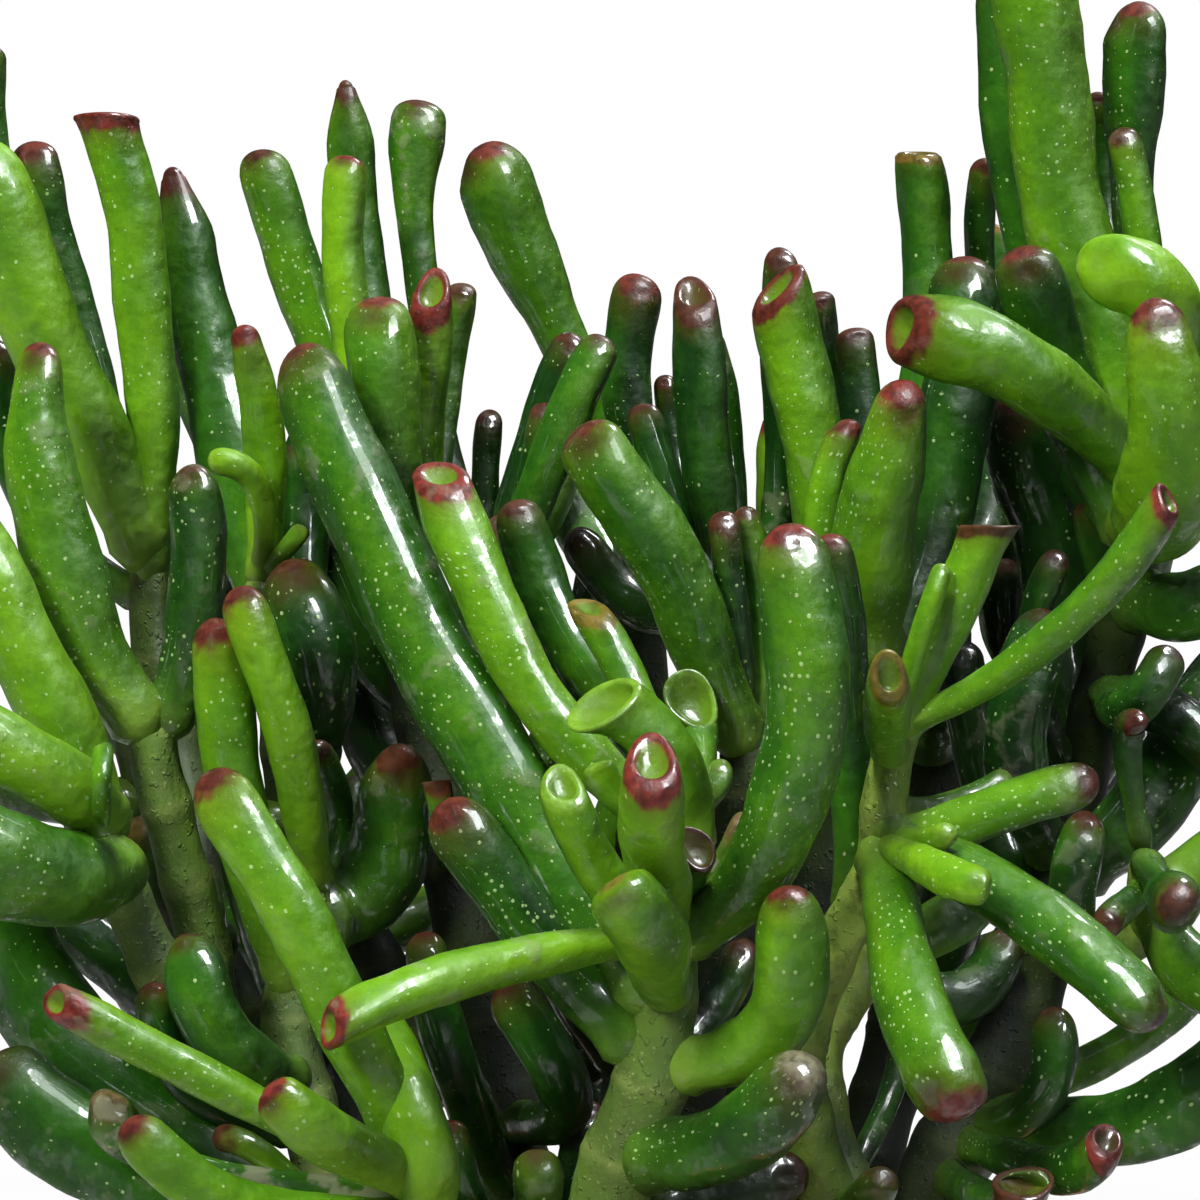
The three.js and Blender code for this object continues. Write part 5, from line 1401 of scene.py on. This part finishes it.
def leaf_finish(foliage):
    """Glossy leaf skin: green by tone, with dots, a stained cap, grey corky patches on scabby leaves, a
    pale foot and painted shade deep in the crown. The coat is thin between the glossy patches and on
    lime leaves, and the skin is rougher there."""
    f = Finish("leaf_skin", ior=1.45, specular=0.3, coat=foliage.gloss, coat_roughness=0.08, coat_ior=1.6)
    spot = f.spot()
    fine, speck = f.noise(spot, 1.6, 3), f.noise(spot, 0.45, 2)
    tone = leaf_tone(f, spot, fine, speck)
    greens = (foliage.deep, foliage.middle_deep, foliage.middle, foliage.lime)
    colour = f.ramp(tone, list(zip(GREENS_AT, greens)))
    dots = leaf_dots(f, spot)
    colour = f.mix(f.times(dots, 0.6), colour, foliage.dots)
    colour = leaf_cap(f, spot, colour, tone)
    scab = f.mark("scab")
    scab = f.times(f.rise(f.plus(f.noise(spot, 4.5, 4), f.times(scab, 0.14)), 0.62, 0.7), scab)
    colour = f.mix(f.times(scab, 0.75), colour, CORK)
    colour = f.mix(f.times(f.mark("base"), f.rise(tone, 0.1, 0.8, 0.2, 0.75)), colour, foliage.foot)
    # Painted shade deep in the crown.
    colour = f.mix(f.times(f.mark("shade"), 0.82), colour, LEAF_SHADE)
    patch = leaf_patches(f, spot)
    gloss = f.rise(f.mark("tone"), 0.3, 0.9, foliage.gloss, LIME_GLOSS * foliage.gloss)
    gloss = f.times(gloss, f.rise(patch, 0, 1, THIN_COAT, 1.0))
    f.tree.links.new(gloss, f.shader.inputs["Coat Weight"])
    rough, smooth = foliage.roughness + ROUGHER, foliage.roughness - SMOOTHER
    roughness = f.plus(f.rise(fine, 0.2, 0.8, 0, 0.12), f.rise(patch, 0, 1, rough, smooth))
    roughness = f.plus(roughness, f.times(scab, 0.3))
    wrinkles = f.times(f.noise(spot, 2.6, 3, 0.6), f.rise(f.mark("from_tip"), 3.0, 0.5, 0.6, 1.3))
    swells = f.times(f.noise(spot, 4.5, 2), 3.5)
    height = f.plus(f.plus(f.times(fine, 0.5), f.times(speck, 0.16)), f.plus(wrinkles, swells))
    height = f.plus(height, f.plus(f.times(dots, 0.25), f.times(scab, 0.6)))
    return f.finish(colour, roughness, height, 0.16)


def stem_finish(stems):
    """Stem skin: yellow-green when young, through olive, to dark cork, with pale scars, dark blotches,
    pale specks and small knots. Painted shade darkens it deep in the crown, directly and through the
    age mark, which turns shaded stems to the older colours."""
    f = Finish("stem_skin", ior=1.45, specular=0.3, coat=0.05, coat_roughness=0.3)
    spot = f.spot()
    age, scar = f.mark("age"), f.mark("scar")
    grain = f.noise(f.stretched(spot, (1, 1, 0.3)), 1.6, 4, 0.6)
    patch, fine = f.noise(spot, 7, 3), f.noise(spot, 0.5, 3)
    # The age mark carries painted shade, so shaded stems take the darker, older colours.
    old = f.plus(age, f.times(f.plus(patch, -0.5), 0.7))
    colour = f.ramp(old, [(0.1, stems.young), (0.5, stems.middle), (0.95, stems.old)])
    colour = f.mix(f.rise(grain, 0.52, 0.7, 0.0, 0.22), colour, STEM_GRAIN)
    colour = f.mix(f.times(scar, 0.5), colour, STEM_SCAR)
    colour = f.mix(f.rise(f.noise(spot, 3.2, 4, 0.6), 0.5, 0.68, 0.0, 0.5), colour, STEM_BLOTCH)
    colour = f.mix(f.rise(fine, 0.6, 0.72, 0.0, 0.55), colour, STEM_SPECK)
    # Painted shade deep in the crown.
    colour = f.mix(f.times(f.mark("shade"), 0.93), colour, STEM_SHADE)
    roughness = f.rise(old, 0.0, 1.0, 0.36, 0.75)
    height = f.plus(f.times(grain, 0.7), f.times(fine, 0.3))
    knots = f.rise(f.noise(spot, 1.1, 2), 0.6, 0.7)
    height = f.plus(height, f.times(knots, 0.5))
    return f.finish(colour, roughness, height, 0.3)


def mix_finish():
    """Potting mix: every crumb's own tint, with grain, and no gloss."""
    f = Finish("potting_mix", specular=0.2)
    spot = f.spot()
    fine, dust = f.noise(spot, 0.8, 4, 0.65), f.noise(spot, 12, 2)
    colour = f.mix(f.rise(fine, 0.3, 0.75, 0.0, 0.7), f.mark("tint", "Color"), MIX_DARK)
    colour = f.mix(f.rise(dust, 0.55, 0.8, 0.0, 0.25), colour, MIX_DUST)
    return f.finish(colour, f.rise(fine, 0.3, 0.7, 0.85, 1.0), fine, 0.5)


def terracotta_finish(pot):
    """Fired clay: orange-brown, blotched, with lime bloom in patches and a pitted, faintly ringed face, with
    painted shade in the pits.
    """
    f = Finish("terracotta", specular=0.3)
    spot = f.spot()
    broad, patch, fine = f.noise(spot, 45, 4), f.noise(spot, 14, 5, 0.6), f.noise(spot, 0.9, 4, 0.6)
    rings = f.noise(f.stretched(spot, (0.05, 0.05, 1)), 2.2, 3)
    pores = f.rise(f.noise(spot, 1.4, 2), 0.3, 0.38, 1.0, 0.0)
    tint = f.plus(f.times(broad, 0.6), f.plus(f.times(patch, 0.25), f.times(rings, 0.15)))
    colour = f.ramp(tint, [(0.32, pot.dark), (0.5, pot.clay), (0.7, pot.light)])
    up = f.node("ShaderNodeSeparateXYZ", [spot]).outputs[2]
    band = f.plus(f.rise(up, 0.012, 0.05, 0.12, 0.0), f.rise(up, 0.075, 0.1, 0.0, 0.07))
    bloom = f.rise(f.plus(patch, f.plus(band, f.times(f.plus(broad, -0.5), 0.5))), 0.56, 0.74)
    colour = f.mix(f.times(bloom, pot.bloom), colour, LIME_BLOOM)
    # Painted shade in the pits of the clay's face.
    colour = f.mix(f.times(pores, 0.5), colour, PORE_SHADE)
    height = f.plus(f.times(fine, 0.4), f.plus(f.times(rings, 0.5), f.times(pores, -0.5)))
    return f.finish(colour, f.rise(fine, 0.3, 0.7, 0.75, 0.95), height, 0.22)

# ------------------------------------------------------------------ what a user may change


class JadeFoliage(PropertyGroup):
    deep: FloatVectorProperty(
        name="Deep green", description="Skin of the darkest leaves", subtype="COLOR",
        default=(0.005, 0.032, 0.003), min=0, max=1,
    )
    middle_deep: FloatVectorProperty(
        name="Green in shade", description="Skin of the darker leaves", subtype="COLOR",
        default=(0.022, 0.1, 0.004), min=0, max=1,
    )
    middle: FloatVectorProperty(
        name="Green", description="Skin of the common leaves", subtype="COLOR",
        default=(0.075, 0.21, 0.005), min=0, max=1,
    )
    lime: FloatVectorProperty(
        name="Lime", description="Skin of the youngest leaves", subtype="COLOR",
        default=(0.155, 0.35, 0.007), min=0, max=1,
    )
    dots: FloatVectorProperty(
        name="Dots", description="Pale dots in the skin", subtype="COLOR",
        default=(0.42, 0.6, 0.24), min=0, max=1,
    )
    foot: FloatVectorProperty(
        name="Leaf foot", description="Skin where a leaf leaves its stem", subtype="COLOR",
        default=(0.2, 0.32, 0.04), min=0, max=1,
    )
    roughness: FloatProperty(
        name="Roughness", description="Roughness of the leaves' skin", subtype="FACTOR",
        default=0.34, min=0.1, max=0.9,
    )
    gloss: FloatProperty(
        name="Gloss", description="Weight of the clear coat on the leaves", subtype="FACTOR",
        default=1.0, min=0, max=1,
    )
    sides: IntProperty(name="Sides", description="Faces round a leaf", default=32, min=12, max=64)


class JadeStems(PropertyGroup):
    young: FloatVectorProperty(
        name="Young stem", description="Skin of the thin shoots", subtype="COLOR",
        default=(0.34, 0.47, 0.075), min=0, max=1,
    )
    middle: FloatVectorProperty(
        name="Stem", description="Skin of the common stems", subtype="COLOR",
        default=(0.11, 0.2, 0.028), min=0, max=1,
    )
    old: FloatVectorProperty(
        name="Old stem", description="Cork of the thick stems", subtype="COLOR",
        default=(0.06, 0.09, 0.025), min=0, max=1,
    )
    sides: IntProperty(name="Sides", description="Faces round a stem", default=24, min=12, max=64)


class JadePot(PropertyGroup):
    rim_radius: FloatProperty(
        name="Rim radius", description="Outer radius of the rim", subtype="DISTANCE", unit="LENGTH",
        default=0.06,
    )
    foot_radius: FloatProperty(
        name="Foot radius", description="Outer radius at the floor", subtype="DISTANCE", unit="LENGTH",
        default=0.041,
    )
    wall: FloatProperty(
        name="Wall", description="Thickness of the wall", subtype="DISTANCE", unit="LENGTH", default=0.005,
    )
    clay: FloatVectorProperty(
        name="Clay", description="Fired clay", subtype="COLOR", default=(0.46, 0.165, 0.075), min=0, max=1,
    )
    light: FloatVectorProperty(
        name="Light clay", description="Paler blotches", subtype="COLOR",
        default=(0.56, 0.24, 0.125), min=0, max=1,
    )
    dark: FloatVectorProperty(
        name="Dark clay", description="Darker blotches", subtype="COLOR",
        default=(0.33, 0.1, 0.045), min=0, max=1,
    )
    bloom: FloatProperty(
        name="Bloom", description="Strength of the lime bloom", subtype="FACTOR", default=0.5, min=0, max=1,
    )


class JadeMix(PropertyGroup):
    chips: IntProperty(name="Chips", description="Bark chips on the potting mix", default=1500, min=0)
    grains: IntProperty(name="Grains", description="Pale mineral grains", default=260, min=0)


class JadeStage(PropertyGroup):
    key: FloatProperty(name="Key light", description="Power of the key light, in watts", default=13.8, min=0)
    top: FloatProperty(name="Top light", description="Power of the top light, in watts", default=19.0, min=0)
    back: FloatProperty(
        name="Back light", description="Power of the back light, in watts", default=7.0, min=0,
    )
    side: FloatProperty(
        name="Side light", description="Power of the side light, in watts", default=44.0, min=0,
    )
    sky: FloatProperty(name="Sky", description="Strength of the light from all round", default=0.06, min=0)
    lens: FloatProperty(
        name="Lens", description="Focal length of the camera", subtype="DISTANCE_CAMERA", default=112.5,
    )


# ------------------------------------------------------------------ operators

# Seeds of the draws that the leaf and stem skins take, and of the potting mix.
SKIN_SEED = 20
MIX_SEED = 31
# A back leaf's tone and cap are drawn from these.
BACK_TONES = (0.05, 0.8)
BACK_CAPS = ["r", "m", "b", "o", "m+", "r+"]
# The pot's outline, in mm: how far in the flat foot starts, the slope of the band's face, the step below
# the band, and the rounding of corners. Then the spacing of its rings, and its throwing rings' height
# and spacing.
FOOT_FLAT = 4
BAND_SLOPE = 0.4
BAND_STEP = 3.4
CORNERS = 1.3
POT_RING_STEP = 1.6
POT_SIDES = 160
THROWING_RINGS = (0.07, 2.7)
# Crumbs, in mm: bark from the least to the most, grains and how far they are from round, how far in from
# the mix's edge they lie, and how deep and how high.
BARK_SIZES = ((1.4, 1.0, 0.5), (5.0, 3.0, 1.3))
GRAIN_SIZES = (0.9, 2.3)
GRAIN_SHAPES = (0.75, 1.1)
CRUMB_EDGE = 1.8
CRUMB_LIE = (-0.2, 0.7)
# The browns of the bark, their shares and how far each varies, and the greys of the grains.
BROWNS = np.array([(0.03, 0.017, 0.009), (0.075, 0.038, 0.018), (0.14, 0.075, 0.035), (0.2, 0.13, 0.07)])
BROWN_SHARES = (0.4, 0.33, 0.2, 0.07)
BROWN_VARIES = (0.7, 1.3)
PALES = (0.35, 0.62)
PALE_TINT = np.array((1.0, 0.95, 0.86))
# Each light's place and size in metres, its colour, and what it is left out of: highlights or shading.
LIGHTS = {
    "key": ((-0.5, -0.95, 0.85), 0.25, (1.0, 0.99, 0.96), "glossy"),
    "top": ((-0.15, -0.3, 1.4), 0.28, (1.0, 1.0, 1.0), "glossy"),
    "back": ((0.45, 0.5, 1.0), 0.3, (0.97, 0.99, 1.0), None),
    "side": ((0.5, -0.5, 1.05), 0.6, (0.93, 0.98, 1.0), "diffuse"),
}
SENSOR = 36
FLOOR_SIDES = 96
# The floor's radii in metres: close rings near the pot, then wider and wider ones.
FLOOR_NEAR = (0.02, 0.6, 30)
FLOOR_FAR = (0.65, 60, 40)
FLOOR_FADE = (0.2, 0.6)  # where the pale floor turns to plain white


class JADE_OT_stems(Operator):
    """Make each stem with its branches and leaves"""

    bl_idname = "jade.stems"
    bl_label = "Leafy stems"

    def execute(self, context):
        # Every stem is one piece: closed skins of its branches and its leaves, sunk into each other.
        foliage, wood = context.scene.jade_foliage, context.scene.jade_stems
        materials = [leaf_finish(foliage), stem_finish(wood)]
        stems, leaves = lay_out()
        draws = np.random.default_rng(SKIN_SEED)
        for leaf in leaves:
            leaf["draws"] = draws.random(8)
        for leaf in leaves:
            if "tone" not in leaf:
                leaf["tone"] = draws.uniform(*BACK_TONES)
                leaf["cap"] = str(draws.choice(BACK_CAPS))
        for name, branches in stems.items():
            own = [leaf for leaf in leaves if leaf["owner"] == name]
            shells = [leaf_skin(leaf, foliage.sides, leaf["draws"]) for leaf in own]
            # A stem's extra age, partly painted shade on the stems that lie in shade.
            extra_age_and_shade = STEM_AGES_AND_SHADE.get(name, STEM_AGE_AND_SHADE)
            shells += [branch_skin(branch, extra_age_and_shade, wood.sides, draws.random(6)) for branch in branches]
            build(f"leafy_{name}", shells, materials, name)
        return {"FINISHED"}


class JADE_OT_pot(Operator):
    """Make the terracotta pot with its drain holes"""

    bl_idname = "jade.pot"
    bl_label = "Pot"

    def execute(self, context):
        # The wall's outline, rounded at its corners, is turned about the axis, and cut by four posts.
        pot = context.scene.jade_pot
        rim, foot, wall = pot.rim_radius / MM, pot.foot_radius / MM, pot.wall / MM
        inner_foot = foot - wall + (rim - foot) * POT_FLOOR / RIM_HEIGHT
        under_band = rim - BAND_STEP
        outside = [
            (0, 0), (foot - FOOT_FLAT, 0), (foot, 0), (foot + 0.6, 2),
            (under_band - 0.4, BAND_LOW - 1), (under_band, BAND_LOW), (rim - BAND_SLOPE, BAND_LOW),
            (rim, RIM_HEIGHT), (rim - wall, RIM_HEIGHT),
        ]
        inside = [(inner_foot, POT_FLOOR), (0, POT_FLOOR)]
        outline = filled(rounded(outside + inside, CORNERS), POT_RING_STEP)
        shells = [turned(outline, POT_SIDES, *THROWING_RINGS)]
        piece = build("terracotta_pot", shells, [terracotta_finish(pot)], "pot")
        cut_holes(piece)
        return {"FINISHED"}


class JADE_OT_mix(Operator):
    """Make the potting mix, with bark chips and pale mineral grains on it"""

    bl_idname = "jade.mix"
    bl_label = "Potting mix"

    def execute(self, context):
        # Crumbs lie at random on the mix's top, half sunk in it. Bark is flat and brown, grains are pale.
        mix = context.scene.jade_mix
        draws = np.random.default_rng(MIX_SEED)
        count = mix.chips + mix.grains
        radius = (MIX_RADIUS - CRUMB_EDGE) * np.sqrt(draws.random(count))
        turn = draws.uniform(0, 2 * math.pi, count)
        x, y = radius * np.cos(turn), radius * np.sin(turn)
        places = np.stack([x, y, mix_height(x, y) + draws.uniform(*CRUMB_LIE, count)], 1)
        bark = draws.uniform(*BARK_SIZES, (mix.chips, 3))
        grains = draws.uniform(*GRAIN_SIZES, (mix.grains, 1)) * draws.uniform(*GRAIN_SHAPES, (mix.grains, 3))
        tints = BROWNS[draws.choice(len(BROWNS), mix.chips, p=BROWN_SHARES)]
        tints = tints * draws.uniform(*BROWN_VARIES, (mix.chips, 1))
        pale = draws.uniform(*PALES, (mix.grains, 1)) * PALE_TINT
        loose = crumbs(places, np.concatenate([bark, grains]), np.concatenate([tints, pale]), draws)
        piece = build("potting_soil", [mix_body(), loose], [mix_finish()], "potting_mix")
        smooth = np.ones(len(piece.data.polygons), bool)
        smooth[-len(CRUMB_FACES) * count :] = False
        piece.data.polygons.foreach_set("use_smooth", smooth)
        return {"FINISHED"}


class JADE_OT_stage(Operator):
    """Make the pale floor, the studio lights, the sky and the camera"""

    bl_idname = "jade.stage"
    bl_label = "Stage"

    def execute(self, context):
        stage = context.scene.jade_stage
        make_floor()
        make_sky(stage.sky)
        crown = CENTRE * MM
        for name, (stand, size, colour, left_out) in LIGHTS.items():
            lamp = make_light(f"{name}_light", stand, crown, size, getattr(stage, name), colour)
            if left_out:
                setattr(lamp, f"visible_{left_out}", False)
        camera_data = bpy.data.cameras.new("camera")
        camera_data.lens = stage.lens
        camera_data.sensor_width = SENSOR
        camera = bpy.data.objects.new("camera", camera_data)
        camera.location = STATION * MM
        camera.rotation_euler = Vector(AWAY).to_track_quat("-Z", "Y").to_euler()
        context.scene.collection.objects.link(camera)
        context.scene.camera = camera
        context.scene.view_settings.view_transform = "Standard"
        return {"FINISHED"}


def make_floor():
    """A disc turned about the Z axis: pale and matt near the pot, and further out as white as the sky
    behind it, without lighting anything."""
    radii = np.concatenate([np.linspace(*FLOOR_NEAR), np.geomspace(*FLOOR_FAR)])
    sides = np.arange(FLOOR_SIDES)
    turn = 2 * math.pi * sides / FLOOR_SIDES
    x, y = radii[:, None] * np.cos(turn), radii[:, None] * np.sin(turn)
    points = np.concatenate([np.stack([x, y, 0 * x], -1).reshape(-1, 3), [[0, 0, 0]]])
    r, s = (grid.ravel() for grid in np.meshgrid(np.arange(len(radii) - 1), sides, indexing="ij"))
    low, high, after = r * FLOOR_SIDES, (r + 1) * FLOOR_SIDES, (s + 1) % FLOOR_SIDES
    quads = np.stack([low + s, high + s, high + after, low + after], 1)
    fan = np.stack([np.full(FLOOR_SIDES, len(points) - 1), sides, (sides + 1) % FLOOR_SIDES], 1)
    mesh = bpy.data.meshes.new("floor")
    mesh.from_pydata(points, [], [*quads, *fan])
    f = Finish("floor", roughness=0.9, specular=0.1)
    away = f.node("ShaderNodeVectorMath", [f.spot()], operation="LENGTH").outputs["Value"]
    seen = f.node("ShaderNodeLightPath").outputs["Is Camera Ray"]
    far = f.times(f.rise(away, *FLOOR_FADE), seen)
    dust = f.rise(f.noise(f.spot(), 60, 3), 0.3, 0.7)
    pale = f.mix(seen, (0.3, 0.3, 0.3), f.mix(dust, (0.66, 0.66, 0.65), (0.7, 0.7, 0.695)))
    f.tree.links.new(f.mix(far, pale, (0, 0, 0)), f.shader.inputs["Base Color"])
    f.shader.inputs["Emission Color"].default_value = (1, 1, 1, 1)
    f.tree.links.new(far, f.shader.inputs["Emission Strength"])
    mesh.materials.append(f.material)
    floor = bpy.data.objects.new("floor", mesh)
    bpy.context.scene.collection.objects.link(floor)


def make_sky(strength):
    """Plain white to look at. It lights the plant with its strength from above, and less from the side."""
    world = bpy.data.worlds.new("sky")
    world.use_nodes = True
    tree = world.node_tree
    coords = tree.nodes.new("ShaderNodeTexCoord")
    parts = tree.nodes.new("ShaderNodeSeparateXYZ")
    tree.links.new(coords.outputs["Generated"], parts.inputs[0])
    fade = tree.nodes.new("ShaderNodeMapRange")
    fade.interpolation_type = "SMOOTHSTEP"
    tree.links.new(parts.outputs["Z"], fade.inputs["Value"])
    levels = (("From Min", -0.1), ("From Max", 0.9), ("To Min", 0.25 * strength), ("To Max", 2 * strength))
    for socket, value in levels:
        fade.inputs[socket].default_value = value
    seen = tree.nodes.new("ShaderNodeLightPath").outputs["Is Camera Ray"]
    brighter = tree.nodes.new("ShaderNodeMath")
    brighter.operation = "MAXIMUM"
    tree.links.new(fade.outputs[0], brighter.inputs[0])
    tree.links.new(seen, brighter.inputs[1])
    background = tree.nodes["Background"]
    background.inputs["Color"].default_value = (1, 1, 1, 1)
    tree.links.new(brighter.outputs[0], background.inputs["Strength"])
    bpy.context.scene.world = world


def make_light(name, stand, aim, size, power, colour):
    """Gives a square area light at its stand, turned to its aim."""
    data = bpy.data.lights.new(name, "AREA")
    data.size, data.energy, data.color = size, power, colour
    lamp = bpy.data.objects.new(name, data)
    lamp.location = stand
    lamp.rotation_euler = Vector(np.array(aim) - np.array(stand)).to_track_quat("-Z", "Y").to_euler()
    bpy.context.scene.collection.objects.link(lamp)
    return lamp


class JADE_PT_panel(Panel):
    """The sizes and finishes of the jade, and the button for each of its pieces"""

    bl_label = "Trumpet jade"
    bl_idname = "JADE_PT_panel"
    bl_space_type = "VIEW_3D"
    bl_region_type = "UI"
    bl_category = "Jade"

    def draw(self, context):
        for operator in OPERATORS:
            self.layout.operator(operator.bl_idname)
        for name in GROUPS:
            box = self.layout.box()
            group = getattr(context.scene, name)
            for prop in group.bl_rna.properties:
                if not prop.is_readonly and prop.identifier != "name":
                    box.prop(group, prop.identifier)


GROUPS = {
    "jade_foliage": JadeFoliage,
    "jade_stems": JadeStems,
    "jade_pot": JadePot,
    "jade_mix": JadeMix,
    "jade_stage": JadeStage,
}
OPERATORS = (JADE_OT_stems, JADE_OT_pot, JADE_OT_mix, JADE_OT_stage)


def register():
    for cls in (*GROUPS.values(), *OPERATORS, JADE_PT_panel):
        bpy.utils.register_class(cls)
    for name, cls in GROUPS.items():
        setattr(bpy.types.Scene, name, PointerProperty(type=cls))


def unregister():
    for name in GROUPS:
        delattr(bpy.types.Scene, name)
    for cls in reversed((*GROUPS.values(), *OPERATORS, JADE_PT_panel)):
        bpy.utils.unregister_class(cls)


def main():
    register()
    bpy.ops.jade.stems()
    bpy.ops.jade.pot()
    bpy.ops.jade.mix()
    bpy.ops.jade.stage()


if __name__ == "__main__":
    main()
